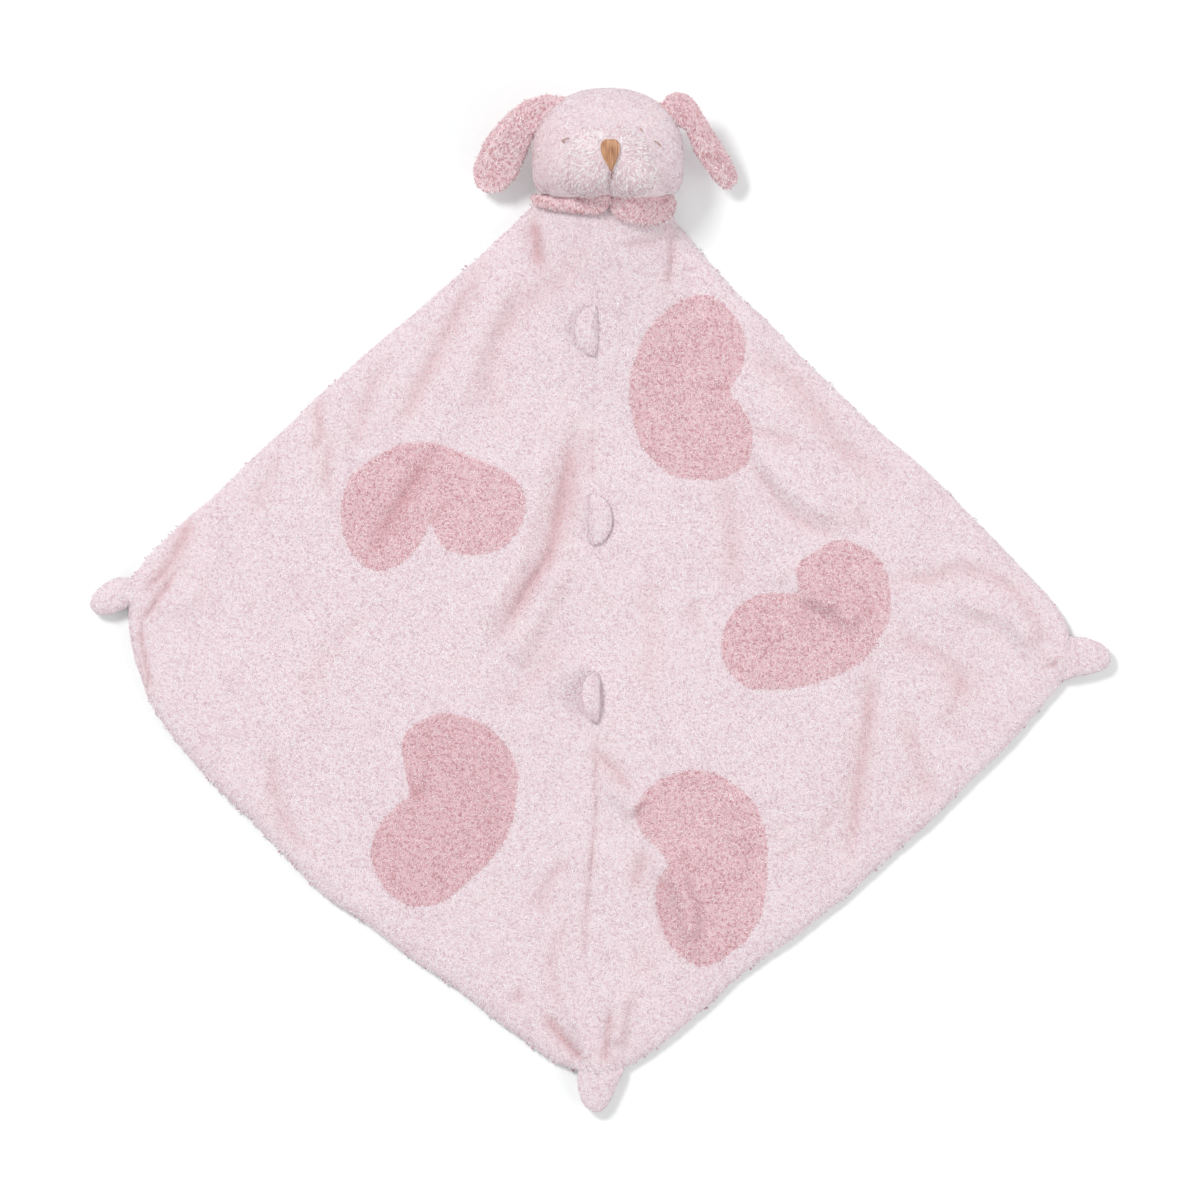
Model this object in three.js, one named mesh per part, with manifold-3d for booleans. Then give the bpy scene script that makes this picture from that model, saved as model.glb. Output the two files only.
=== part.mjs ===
// Comfort blanket: a stuffed puppy head sewn to a square, two-layer plush blanket with heart patches.
// It lies on its back, in millimetres, +Z up and +Y towards the head.
// The origin is on the underside, below the middle of the blanket.
import * as THREE from "three";
import { mergeVertices } from "three/addons/utils/BufferGeometryUtils.js";
import Module from "manifold-3d";

const wasm = await Module();
wasm.setup();

// Clearances and small working sizes
const seatClearance = 0.3;
const seamGap = 0.6;
const cutOverrun = 20;
const mergeDistance = 0.001;
const slopeStep = 1;

// Blanket
const blanketHalfDiagonal = 277.5;
const fabricThickness = 3;
const frontLift = 3.2;
const edgeBand = 18;
const edgePower = 0.7;
const edgeRounding = 4;
const grooveWidth = 3;
const foldHeight = 4;
const foldWidth = 9;

// Chest, the raised part of the front layer below the head
const chestLength = 142;
const chestSpread = 26;
const chestLift = 30;
const chestSinkPower = 1.6;
const chestArchPower = 1.3;

// Head
const headHalfWidth = 42.2;
const headCrownReach = 37.8;
const headChinReach = 27;
const headHalfHeight = 31;
const headLean = 2.2;
const headRise = 21;
const headFlat = 0.5;
const chinDrop = 10;

// Muzzle and nose
const muzzleHalfWidth = 28;
const muzzleHalfLength = 21;
const muzzleHalfHeight = 22;
const muzzleRise = 19;
const jowlHalfWidth = 16;
const jowlHalfLength = 13.5;
const jowlHalfHeight = 18;
const jowlSpacing = 26;
const jowlDistance = 9;
const noseHalfWidth = 5.4;
const noseHalfLength = 8.9;
const noseThickness = 1.3;

// Ears
const earLength = 61;
const earLayer = 3.2;
const earRootHeight = 33;

// Collar, seam tabs and corner nubs
const collarThickness = 4.5;
const collarInset = 0.8;
const tabLength = 26;
const tabWidth = 13;
const tabThickness = 4.4;
const nubLength = 23;
const nubHalfWidth = 10;
const nubHalfHeight = 7;

// Counts
const blanketRows = 24;
const panelColumns = 12;
const heartSteps = 20;
const headDetail = 4;
const muzzleDetail = 3;
const nubDetail = 2;
const tabSteps = 12;
const leafSteps = 15;

// Soft sections: rings from a flat piece's middle to its rim, and the thickness left at a rim or seam
const ringShares = [0.5, 0.85, 1];
const hollowShare = 0.86;
const rimShare = 0.4;
const grooveShare = 0.75;
const tabReachShare = 0.3;

// Outline of the blanket from the neck down: across and up, in shares of the half diagonal
const leftEdgeShares = [
  [-0.13, 0.872], [-0.134, 0.846], [-0.164, 0.818], [-0.248, 0.74], [-0.386, 0.62], [-0.526, 0.5],
  [-0.654, 0.38], [-0.78, 0.26], [-0.87, 0.18], [-0.927, 0.11], [-0.935, 0.036], [-0.926, -0.06],
  [-0.902, -0.14], [-0.85, -0.22], [-0.78, -0.3], [-0.66, -0.42], [-0.54, -0.54], [-0.47, -0.58],
  [-0.372, -0.66], [-0.254, -0.74], [-0.15, -0.82], [-0.044, -0.88],
];
const rightEdgeShares = [
  [0.146, 0.872], [0.148, 0.834], [0.162, 0.802], [0.212, 0.74], [0.33, 0.62], [0.45, 0.5],
  [0.576, 0.38], [0.708, 0.26], [0.826, 0.14], [0.902, 0.06], [0.938, -0.012], [0.932, -0.096],
  [0.892, -0.14], [0.824, -0.22], [0.702, -0.34], [0.57, -0.46], [0.484, -0.54], [0.384, -0.62],
  [0.262, -0.7], [0.132, -0.82], [0.04, -0.88],
];
const seamShares = [
  [0.01, 0.872], [0.012, 0.74], [-0.008, 0.64], [-0.012, 0.56], [-0.016, 0.36], [-0.014, 0.22],
  [-0.006, 0.06], [0, -0.14], [-0.006, -0.34], [-0.012, -0.5], [-0.022, -0.66], [-0.018, -0.76],
  [-0.002, -0.88],
];
const neckShare = 0.872;
const cornerShare = -0.88;

// Heart patches, in shares of the half diagonal, each from its notch round
const heartShares = {
  upper_left: [
    [-0.334, 0.218], [-0.358, 0.176], [-0.388, 0.142], [-0.432, 0.118], [-0.476, 0.128], [-0.51, 0.184],
    [-0.514, 0.248], [-0.496, 0.3], [-0.45, 0.346], [-0.364, 0.378], [-0.27, 0.354], [-0.19, 0.32],
    [-0.152, 0.27], [-0.16, 0.202], [-0.2, 0.164], [-0.26, 0.148], [-0.308, 0.17],
  ],
  upper_right: [
    [0.26, 0.478], [0.284, 0.52], [0.288, 0.57], [0.272, 0.624], [0.23, 0.664], [0.18, 0.668],
    [0.12, 0.63], [0.08, 0.56], [0.062, 0.48], [0.07, 0.404], [0.104, 0.346], [0.17, 0.306],
    [0.244, 0.304], [0.294, 0.34], [0.304, 0.396], [0.288, 0.446],
  ],
  mid_right: [
    [0.396, 0.074], [0.394, 0.124], [0.424, 0.156], [0.476, 0.18], [0.53, 0.17], [0.57, 0.12],
    [0.58, 0.07], [0.56, -0.01], [0.51, -0.066], [0.43, -0.106], [0.34, -0.12], [0.276, -0.104],
    [0.244, -0.05], [0.248, 0.016], [0.284, 0.06], [0.336, 0.076],
  ],
  lower_left: [
    [-0.382, -0.338], [-0.384, -0.296], [-0.392, -0.25], [-0.376, -0.204], [-0.32, -0.17], [-0.25, -0.178],
    [-0.19, -0.224], [-0.166, -0.29], [-0.17, -0.364], [-0.2, -0.44], [-0.264, -0.502], [-0.34, -0.55],
    [-0.41, -0.538], [-0.45, -0.476], [-0.446, -0.408], [-0.412, -0.356],
  ],
  lower_right: [
    [0.134, -0.46], [0.1, -0.43], [0.072, -0.376], [0.09, -0.324], [0.15, -0.286], [0.222, -0.284],
    [0.288, -0.322], [0.328, -0.398], [0.334, -0.48], [0.316, -0.576], [0.27, -0.65], [0.2, -0.672],
    [0.136, -0.624], [0.114, -0.54], [0.12, -0.492],
  ],
};

// Folds of the front layer: a line in shares of the half diagonal, and shares of the fold height and width
const foldShares = [
  { line: [[-0.05, 0.38], [-0.092, 0.19], [-0.19, 0.004]], heightShare: -1, widthShare: 0.9 },
  { line: [[-0.11, 0.4], [-0.15, 0.19], [-0.25, -0.02]], heightShare: 0.9, widthShare: 1.1 },
  { line: [[-0.06, 0.15], [-0.12, 0.02], [-0.17, -0.07]], heightShare: 0.8, widthShare: 1 },
  { line: [[-0.06, 0.72], [-0.16, 0.6], [-0.22, 0.5], [-0.2, 0.41]], heightShare: -0.8, widthShare: 1.2 },
  { line: [[-0.23, 0.73], [-0.31, 0.58], [-0.4, 0.4]], heightShare: -0.7, widthShare: 1 },
  { line: [[-0.16, 0.75], [-0.25, 0.56], [-0.3, 0.42]], heightShare: 1, widthShare: 1.4 },
  { line: [[-0.31, 0.36], [-0.4, 0.29], [-0.45, 0.15]], heightShare: -0.7, widthShare: 1 },
  { line: [[-0.81, 0.23], [-0.856, 0.136], [-0.9, 0.086]], heightShare: -0.8, widthShare: 0.8 },
  { line: [[-0.78, 0.16], [-0.82, 0.06], [-0.9, 0.03]], heightShare: 1, widthShare: 1 },
  { line: [[-0.06, 0], [-0.1, -0.07], [-0.2, -0.17]], heightShare: -0.8, widthShare: 1.4 },
  { line: [[-0.64, -0.22], [-0.65, -0.32], [-0.57, -0.45]], heightShare: -0.7, widthShare: 1 },
  { line: [[-0.11, -0.77], [-0.04, -0.85]], heightShare: -0.9, widthShare: 0.6 },
  { line: [[0.05, -0.72], [0.03, -0.84]], heightShare: 0.8, widthShare: 0.8 },
  { line: [[0.304, 0.53], [0.4, 0.47], [0.56, 0.32]], heightShare: -0.9, widthShare: 1.3 },
  { line: [[0.33, 0.33], [0.4, 0.27], [0.5, 0.23]], heightShare: 1, widthShare: 1 },
  { line: [[0.3, 0.3], [0.35, 0.23], [0.44, 0.19]], heightShare: -0.8, widthShare: 0.8 },
  { line: [[0.6, 0.1], [0.7, 0.124], [0.81, 0.09], [0.9, -0.03]], heightShare: -0.9, widthShare: 0.9 },
  { line: [[0.7, 0.06], [0.81, 0.03], [0.88, -0.05]], heightShare: 1.1, widthShare: 1 },
  { line: [[0.6, -0.02], [0.68, -0.07], [0.74, -0.14]], heightShare: -0.6, widthShare: 1 },
  { line: [[0.536, -0.1], [0.536, -0.26], [0.5, -0.46]], heightShare: -0.9, widthShare: 1 },
  { line: [[0.46, -0.14], [0.45, -0.3], [0.42, -0.45]], heightShare: 0.8, widthShare: 1.3 },
  { line: [[0.134, -0.47], [0.17, -0.56], [0.18, -0.63]], heightShare: 0.9, widthShare: 0.9 },
  { line: [[0.4, 0.1], [0.46, 0.06], [0.52, 0]], heightShare: -0.7, widthShare: 0.9 },
];

// Collar lobes, in shares of the chest's half width, from the middle of the neck
const collarShares = {
  left: [
    [-0.96, -0.03], [-1.0, -0.12], [-0.92, -0.24], [-0.6, -0.28], [-0.25, -0.32], [0, -0.31],
    [0.06, -0.17], [0.04, -0.03], [-0.45, -0.02],
  ],
  right: [
    [0.12, -0.03], [0.11, -0.17], [0.25, -0.34], [0.5, -0.47], [0.8, -0.45], [0.96, -0.33],
    [1.0, -0.17], [0.95, -0.04], [0.55, -0.02],
  ],
};

// Ear leaf, in shares of its length: outwards from the head, then along the sewn edge to the tip
const earShares = [
  [0, -0.157], [0.12, -0.12], [0.225, -0.02], [0.285, 0.12], [0.305, 0.3], [0.316, 0.53], [0.3, 0.77],
  [0.224, 0.934], [0.077, 1], [-0.056, 0.966], [-0.112, 0.84], [-0.1, 0.68], [-0.05, 0.46],
  [-0.004, 0.3], [0, 0.157], [0, 0],
];
const noseShares = [
  [-0.5, 1], [0.5, 1], [0.93, 0.72], [0.95, 0.3], [0.72, -0.25], [0.3, -0.85], [0, -1],
  [-0.3, -0.85], [-0.72, -0.25], [-0.95, 0.3], [-0.93, 0.72],
];

// Places and angles of the ears, seam tabs and corner nubs, with distances in shares of a named size
const ears = {
  left: { side: 1, acrossShare: -0.787, alongShare: 0.68, turn: 140.9, dip: 20, roll: -12 },
  right: { side: -1, acrossShare: 0.846, alongShare: 0.625, turn: -140.1, dip: 20, roll: -38 },
};
const tabs = {
  upper: { alongShare: 0.597, side: -1, raised: 0 },
  middle: { alongShare: 0.221, side: 1, raised: 0 },
  lower: { alongShare: -0.134, side: -1, raised: 50 },
};
const nubs = {
  left: { rootShares: [-0.9355, 0.072], turn: 194 },
  right: { rootShares: [0.935, -0.048], turn: -6 },
  bottom: { rootShares: [-0.002, -0.881], turn: -92.5 },
};

// Colours and finish
const pink = "#ecdbe1";
const rose = "#e0bcc2";
const earRose = "#d8b3b8";
const muzzlePink = "#e6d4da";
const noseTan = "#c5976f";
const fillingWhite = "#f3f1ee";
const plushRoughness = 1;
const threadRoughness = 0.6;

const clampShare = (value) => THREE.MathUtils.clamp(value, 0, 1);

// Derived sizes
const backTop = fabricThickness;
const frontBed = backTop + seatClearance;
const cornerDistance = cornerShare * blanketHalfDiagonal;
const neckDistance = neckShare * blanketHalfDiagonal;
const neckEdges = [leftEdgeShares, rightEdgeShares].map((points) => acrossAt(points, neckDistance));
const chestHalfWidth = (neckEdges[1] - neckEdges[0]) / 2;
const neckShift = (neckEdges[0] + neckEdges[1]) / 2;
const headShift = neckShift + headLean;
const headDistance = neckDistance + headRise;
const headCentre = new THREE.Vector3(headShift, headDistance, headHalfHeight - headFlat);
const trimReach = headDistance + headCrownReach + cutOverrun;

// The shared line's x at height y: a smooth curve through points that run from the top down.
function acrossAt(points, y) {
  const level = y / blanketHalfDiagonal;
  const last = points.length - 1;
  const slope = (k) => {
    const before = points[Math.max(k - 1, 0)];
    const after = points[Math.min(k + 1, last)];
    return (after[0] - before[0]) / (after[1] - before[1]);
  };
  let i = 0;
  while (i < last - 1 && points[i + 1][1] > level) i += 1;
  const run = points[i + 1][1] - points[i][1];
  const t = clampShare((level - points[i][1]) / run);
  const ease = t * t * (3 - 2 * t);
  const lead = t * (1 - t) * (1 - t) * run * slope(i);
  const trail = t * t * (1 - t) * run * slope(i + 1);
  return ((1 - ease) * points[i][0] + ease * points[i + 1][0] + lead - trail) * blanketHalfDiagonal;
}

// Distance from a point on the plan to a fold's line.
function distanceTo(line, x, y) {
  const place = new THREE.Vector3(x, y, 0);
  const nearest = new THREE.Vector3();
  let least = Infinity;
  for (let i = 1; i < line.length; i += 1) {
    const [start, end] = [line[i - 1], line[i]].map(
      ([u, v]) => new THREE.Vector3(u, v, 0).multiplyScalar(blanketHalfDiagonal),
    );
    new THREE.Line3(start, end).closestPointToPoint(place, true, nearest);
    least = Math.min(least, nearest.distanceTo(place));
  }
  return least;
}

// Rise of the chest: an arch at the neck that sinks and spreads down the blanket.
function chestRise(x, y) {
  const run = clampShare((neckDistance - y) / chestLength);
  const off = clampShare(Math.abs(x - neckShift) / (chestHalfWidth + chestSpread * run));
  return chestLift * (1 - run) ** chestSinkPower * (1 - off * off) ** chestArchPower;
}

// Lift of the front layer's underside off the back layer.
function liftAt(x, y) {
  const left = acrossAt(leftEdgeShares, y);
  const right = acrossAt(rightEdgeShares, y);
  const toEdge = Math.max(Math.min(x - left, right - x), 0);
  const folds = foldShares.reduce((sum, fold) => {
    const off = distanceTo(fold.line, x, y) / (foldWidth * fold.widthShare);
    return sum + foldHeight * fold.heightShare * Math.exp(-off * off);
  }, frontLift);
  const loose = (folds + Math.hypot(folds, frontLift)) / 2;
  return loose * clampShare(toEdge / edgeBand) ** edgePower + chestRise(x, y);
}

// Height of the front layer's upper face, with the same thickness on a slope as on the flat.
function topAt(x, y, thickness = fabricThickness) {
  const here = liftAt(x, y);
  const alongX = (liftAt(x + slopeStep, y) - here) / slopeStep;
  const alongY = (liftAt(x, y - slopeStep) - here) / slopeStep;
  return frontBed + here + thickness * Math.hypot(1, alongX, alongY);
}

// Closed meshes and booleans
function solidOf(geometry) {
  geometry.deleteAttribute("normal");
  geometry.deleteAttribute("uv");
  const merged = mergeVertices(geometry, mergeDistance);
  const vertProperties = merged.attributes.position.array;
  const triVerts = new Uint32Array(merged.index.array);
  return new wasm.Manifold(new wasm.Mesh({ numProp: 3, vertProperties, triVerts }));
}

function geometryOf(solid) {
  const { vertProperties, triVerts } = solid.getMesh();
  const geometry = new THREE.BufferGeometry();
  geometry.setAttribute("position", new THREE.BufferAttribute(vertProperties, 3));
  geometry.setIndex(new THREE.BufferAttribute(triVerts, 1));
  geometry.computeVertexNormals();
  return geometry;
}

function indexed(positions, index) {
  const geometry = new THREE.BufferGeometry();
  geometry.setAttribute("position", new THREE.Float32BufferAttribute(positions, 3));
  geometry.setIndex(index);
  return geometry;
}

function block([x0, x1], [y0, y1], [z0, z1]) {
  const box = new THREE.BoxGeometry(x1 - x0, y1 - y0, z1 - z0);
  return solidOf(box.translate((x0 + x1) / 2, (y0 + y1) / 2, (z0 + z1) / 2));
}

const everywhere = [-trimReach, trimReach];
const beyondNeck = (distance) => block(everywhere, [neckDistance + distance, trimReach], [0, trimReach]);

// A slab over a grid of rows from the top down and columns from left to right.
function slab(rows, columns, at) {
  const positions = [[], []];
  const index = [];
  const quad = (a, b, c, d) => index.push(a, b, c, a, c, d);
  for (let i = 0; i <= rows; i += 1) {
    for (let j = 0; j <= columns; j += 1) {
      const { x, y, low, high } = at(i, j);
      positions[0].push(x, y, low);
      positions[1].push(x, y, high);
    }
  }
  const upper = (rows + 1) * (columns + 1);
  const lowAt = (i, j) => i * (columns + 1) + j;
  const highAt = (i, j) => upper + lowAt(i, j);
  for (let i = 0; i < rows; i += 1) {
    for (let j = 0; j < columns; j += 1) {
      quad(highAt(i, j), highAt(i + 1, j), highAt(i + 1, j + 1), highAt(i, j + 1));
      quad(lowAt(i, j), lowAt(i, j + 1), lowAt(i + 1, j + 1), lowAt(i + 1, j));
    }
    quad(lowAt(i, 0), lowAt(i + 1, 0), highAt(i + 1, 0), highAt(i, 0));
    quad(highAt(i, columns), highAt(i + 1, columns), lowAt(i + 1, columns), lowAt(i, columns));
  }
  for (let j = 0; j < columns; j += 1) {
    quad(highAt(0, j), highAt(0, j + 1), lowAt(0, j + 1), lowAt(0, j));
    quad(lowAt(rows, j), lowAt(rows, j + 1), highAt(rows, j + 1), highAt(rows, j));
  }
  return solidOf(indexed(positions.flat(), index));
}

// A soft flat piece inside an outline: rings shrink to its middle between a lower and an upper face.
function pillow(outline, faces) {
  const middle = outline.reduce((sum, point) => sum.add(point), new THREE.Vector2());
  middle.divideScalar(outline.length);
  const positions = [[], []];
  const index = [];
  const count = outline.length;
  const push = (point, share) => {
    const [low, high] = faces(point.x, point.y, share);
    positions[0].push(point.x, point.y, low);
    positions[1].push(point.x, point.y, high);
  };
  push(middle, 0);
  for (const share of ringShares) {
    for (const point of outline) push(middle.clone().lerp(point, share), share);
  }
  const upper = 1 + count * ringShares.length;
  for (let k = 0; k < count; k += 1) {
    const next = (k + 1) % count;
    index.push(upper, upper + 1 + k, upper + 1 + next);
    index.push(0, 1 + next, 1 + k);
    for (let ring = 1; ring < ringShares.length; ring += 1) {
      const [inner, outer] = [1 + (ring - 1) * count, 1 + ring * count];
      index.push(upper + inner + k, upper + outer + k, upper + outer + next);
      index.push(upper + inner + k, upper + outer + next, upper + inner + next);
      index.push(inner + k, outer + next, outer + k);
      index.push(inner + k, inner + next, outer + next);
    }
    const rim = 1 + (ringShares.length - 1) * count;
    index.push(rim + k, rim + next, upper + rim + next);
    index.push(rim + k, upper + rim + next, upper + rim + k);
  }
  return indexed(positions.flat(), index);
}

// Fullness of a soft piece from its middle to its rim.
const fullness = (share) => Math.sqrt(1 - hollowShare * share ** 3);

// Points round a closed, smooth outline, turned to run counterclockwise and moved out by a distance.
function outlineOf(shares, scale, count, outwards = 0) {
  const points = shares.map(([u, v]) => new THREE.Vector3(u * scale, v * scale, 0));
  const curve = new THREE.CatmullRomCurve3(points, true, "centripetal");
  const flat = curve.getSpacedPoints(count).slice(0, count).map(({ x, y }) => new THREE.Vector2(x, y));
  if (THREE.ShapeUtils.area(flat) < 0) flat.reverse();
  return flat.map((point, k) => {
    const along = flat[(k + 1) % count].clone().sub(flat[(k + count - 1) % count]).normalize();
    return new THREE.Vector2(point.x + along.y * outwards, point.y - along.x * outwards);
  });
}

function prism(outline, from, to) {
  const geometry = new THREE.ExtrudeGeometry(new THREE.Shape(outline), {
    depth: to - from,
    bevelEnabled: false,
  });
  return solidOf(geometry.translate(0, 0, from));
}

// A stuffed form: a ball pushed out to its reach on each side, squarer on plan where the power is high.
function stuffed({ halfWidth, front, back, halfHeight, frontPower, backPower }, detail) {
  const geometry = new THREE.IcosahedronGeometry(1, detail);
  const place = geometry.attributes.position;
  const way = new THREE.Vector3();
  for (let i = 0; i < place.count; i += 1) {
    way.fromBufferAttribute(place, i).normalize();
    const power = way.y > 0 ? frontPower : backPower;
    const across = Math.abs(way.x / halfWidth) ** power;
    const along = Math.abs(way.y / (way.y > 0 ? front : back)) ** power;
    way.divideScalar(Math.hypot((across + along) ** (1 / power), way.z / halfHeight));
    place.setXYZ(i, way.x, way.y, way.z);
  }
  return geometry;
}

// Blanket
function rowDistance(i) {
  const top = neckDistance - seatClearance;
  return top + ((cornerDistance - top) * i) / blanketRows;
}

// Places between two edges, with a narrow column of its own width beside each edge.
function columnsBetween(start, startWidth, end, endWidth, count) {
  const inner = start + startWidth;
  const step = (end - endWidth - inner) / (count - 2);
  const between = Array.from({ length: count - 1 }, (_, j) => inner + j * step);
  return [start, ...between, end];
}

function backPanel() {
  const columns = 3;
  const at = (i, j) => {
    const y = rowDistance(i);
    const edges = [acrossAt(leftEdgeShares, y), acrossAt(rightEdgeShares, y)];
    const x = columnsBetween(edges[0], edgeRounding, edges[1], edgeRounding, columns)[j];
    const low = j === 0 || j === columns ? fabricThickness / 2 : 0;
    return { x, y, low, high: backTop };
  };
  return slab(blanketRows, columns, at);
}

function frontPanel(side) {
  const at = (i, j) => {
    const y = rowDistance(i);
    const seam = acrossAt(seamShares, y) + (side * seamGap) / 2;
    const edge = acrossAt(side < 0 ? leftEdgeShares : rightEdgeShares, y);
    const places =
      side < 0
        ? columnsBetween(edge, edgeRounding, seam, grooveWidth, panelColumns)
        : columnsBetween(seam, grooveWidth, edge, edgeRounding, panelColumns);
    const x = places[j];
    const onRim = x === edge;
    const onSeam = x === seam;
    const thickness = fabricThickness * (onRim ? rimShare : onSeam ? grooveShare : 1);
    return { x, y, low: frontBed + liftAt(x, y), high: topAt(x, y, thickness) };
  };
  return slab(blanketRows, panelColumns, at);
}

function heartPrism(name, outwards) {
  const outline = outlineOf(heartShares[name], blanketHalfDiagonal, heartSteps, outwards);
  return prism(outline, 0, chestLift + cutOverrun);
}

function frontPieces() {
  const panels = { left: frontPanel(-1), right: frontPanel(1) };
  const pieces = {};
  for (const name of Object.keys(heartShares)) {
    const side = name.endsWith("left") ? "left" : "right";
    pieces["heart_patch_" + name] = panels[side].intersect(heartPrism(name, -seatClearance));
    panels[side] = panels[side].subtract(heartPrism(name, seatClearance));
  }
  pieces.front_panel_left = panels.left;
  pieces.front_panel_right = panels.right;
  return pieces;
}

// Collar lobes lie on the chest and are cut by its two panels, raised by the clearance.
function collarLobe(side, panels) {
  const outline = outlineOf(collarShares[side], chestHalfWidth, leafSteps);
  const placed = outline.map(({ x, y }) => new THREE.Vector2(x + neckShift, y + neckDistance - collarInset));
  const faces = (x, y, share) => {
    const bed = topAt(x, y) + seatClearance;
    return [bed, bed + collarThickness * fullness(share)];
  };
  return panels.reduce(
    (lobe, panel) => lobe.subtract(panel.translate(0, 0, seatClearance)),
    solidOf(pillow(placed, faces)),
  );
}

// Head
function headForm(grow) {
  const reach = {
    halfWidth: headHalfWidth + grow,
    front: headCrownReach + grow,
    back: headChinReach + grow,
    halfHeight: headHalfHeight + grow,
    frontPower: 2.2,
    backPower: 4,
  };
  const geometry = stuffed(reach, headDetail);
  const place = geometry.attributes.position;
  for (let i = 0; i < place.count; i += 1) {
    const run = Math.max(-place.getY(i), 0) / headRise;
    place.setZ(i, place.getZ(i) - chinDrop * run * run);
  }
  return solidOf(geometry.translate(...headCentre));
}

function muzzleForm(grow) {
  const dome = stuffed(
    {
      halfWidth: muzzleHalfWidth + grow,
      front: muzzleHalfLength + grow,
      back: muzzleHalfLength + grow,
      halfHeight: muzzleHalfHeight + grow,
      frontPower: 2,
      backPower: 2.4,
    },
    muzzleDetail,
  );
  const height = headCentre.z + muzzleRise;
  const jowls = [-1, 1].map((side) => {
    const jowl = stuffed(
      {
        halfWidth: jowlHalfWidth + grow,
        front: jowlHalfLength + grow,
        back: jowlHalfLength + grow,
        halfHeight: jowlHalfHeight + grow,
        frontPower: 2,
        backPower: 2.2,
      },
      muzzleDetail,
    );
    return solidOf(jowl.translate(headShift + (side * jowlSpacing) / 2, headDistance - jowlDistance, height));
  });
  const whole = solidOf(dome.translate(headShift, headDistance, height));
  return whole.add(jowls[0]).add(jowls[1]);
}

function headPieces() {
  const outer = headForm(0);
  const lining = headForm(-fabricThickness);
  const inner = headForm(-fabricThickness - seatClearance);
  const shell = outer.subtract(lining).intersect(beyondNeck(seatClearance));
  const split = headCentre.z;
  const backZone = [0, split - seatClearance / 2];
  const discFace = seatClearance + fabricThickness;
  return {
    face_panel: shell.intersect(block(everywhere, everywhere, [split + seatClearance / 2, trimReach])),
    head_back_left: shell.intersect(
      block([-trimReach, headShift - seatClearance / 2], everywhere, backZone),
    ),
    head_back_right: shell.intersect(
      block([headShift + seatClearance / 2, trimReach], everywhere, backZone),
    ),
    neck_disc: inner.intersect(beyondNeck(seatClearance)).subtract(beyondNeck(discFace)),
    head_filling: inner.intersect(beyondNeck(discFace + seatClearance)).intersect(
      block(everywhere, everywhere, [fabricThickness + seatClearance, trimReach]),
    ),
    muzzle_cover: muzzleForm(0).subtract(headForm(seatClearance)),
  };
}

function noseStitching() {
  const outline = noseShares.map(
    ([u, v]) => new THREE.Vector2(headShift + u * noseHalfWidth, headDistance + v * noseHalfLength),
  );
  const column = prism(outline, headCentre.z + muzzleRise, trimReach);
  return column.intersect(muzzleForm(seatClearance + noseThickness)).subtract(muzzleForm(seatClearance));
}

// Ears: a leaf of two layers, sewn on along the straight start of its inner edge
function earPlace({ acrossShare, alongShare, turn, dip, roll, side }) {
  const root = new THREE.Vector3(
    headShift + acrossShare * headHalfWidth,
    headDistance + alongShare * headCrownReach,
    earRootHeight,
  );
  const degrees = THREE.MathUtils.degToRad;
  return new THREE.Matrix4()
    .makeTranslation(root)
    .multiply(new THREE.Matrix4().makeRotationZ(degrees(turn)))
    .multiply(new THREE.Matrix4().makeRotationX(degrees(-dip)))
    .multiply(new THREE.Matrix4().makeRotationY(degrees(side * roll)));
}

function earLayerSolid(ear, up) {
  const shares = earShares.map(([u, v]) => [u * ear.side, v]);
  const outline = outlineOf(shares, earLength, leafSteps);
  const faces = (x, y, share) => {
    const near = (up * seatClearance) / 2;
    const far = near + up * earLayer * fullness(share);
    return [Math.min(near, far), Math.max(near, far)];
  };
  const leaf = pillow(outline, faces).applyMatrix4(earPlace(ear));
  return solidOf(leaf).subtract(headForm(seatClearance));
}

// Seam tabs: half moons that swing on the centre seam and follow its slope
function tabSeat(tab) {
  const along = tab.alongShare * blanketHalfDiagonal;
  const across = acrossAt(seamShares, along);
  const rise = (topAt(across, along + tabLength / 2) - topAt(across, along - tabLength / 2)) / tabLength;
  const steps = [-1, -0.5, 0, 0.5, 1];
  const heights = steps.flatMap((u) =>
    steps.map((v) => {
      const offset = (v * tabLength) / 2;
      return topAt(across + u * tabWidth * tabReachShare, along + offset) - rise * offset;
    }),
  );
  const lift = (seatClearance + tabThickness / 2) * Math.hypot(1, rise);
  return { point: new THREE.Vector3(across, along, Math.max(...heights) + lift), tilt: Math.atan(rise) };
}

function seamTab(tab) {
  const outline = Array.from({ length: tabSteps }, (_, k) => {
    const angle = (2 * Math.PI * k) / tabSteps;
    const out = Math.cos(angle);
    const reach = out > 0 ? tabWidth - tabThickness / 2 : tabThickness / 2;
    return new THREE.Vector2(reach * out, (Math.sin(angle) * tabLength) / 2);
  });
  const faces = (x, y, share) => {
    const half = (tabThickness / 2) * fullness(share);
    return [-half, half];
  };
  const { point, tilt } = tabSeat(tab);
  const swing = THREE.MathUtils.degToRad(tab.side > 0 ? -tab.raised : tab.raised - 180);
  return solidOf(pillow(outline, faces).rotateY(swing).rotateX(tilt).translate(point.x, point.y, point.z));
}

// Corner nubs: stuffed corners with a blunt root against the blanket and a round tip
function cornerNub(nub) {
  const form = stuffed(
    {
      halfWidth: nubHalfWidth,
      front: nubLength / 2,
      back: nubLength / 2,
      halfHeight: nubHalfHeight,
      frontPower: 2,
      backPower: 3,
    },
    nubDetail,
  );
  form.translate(0, nubLength / 2 + seatClearance, 0);
  form.rotateZ(THREE.MathUtils.degToRad(nub.turn - 90));
  const [across, along] = nub.rootShares.map((share) => share * blanketHalfDiagonal);
  form.translate(across, along, nubHalfHeight - headFlat);
  return solidOf(form).intersect(block(everywhere, everywhere, [0, trimReach]));
}

// Assembly
const blanket = new THREE.Group();

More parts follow.
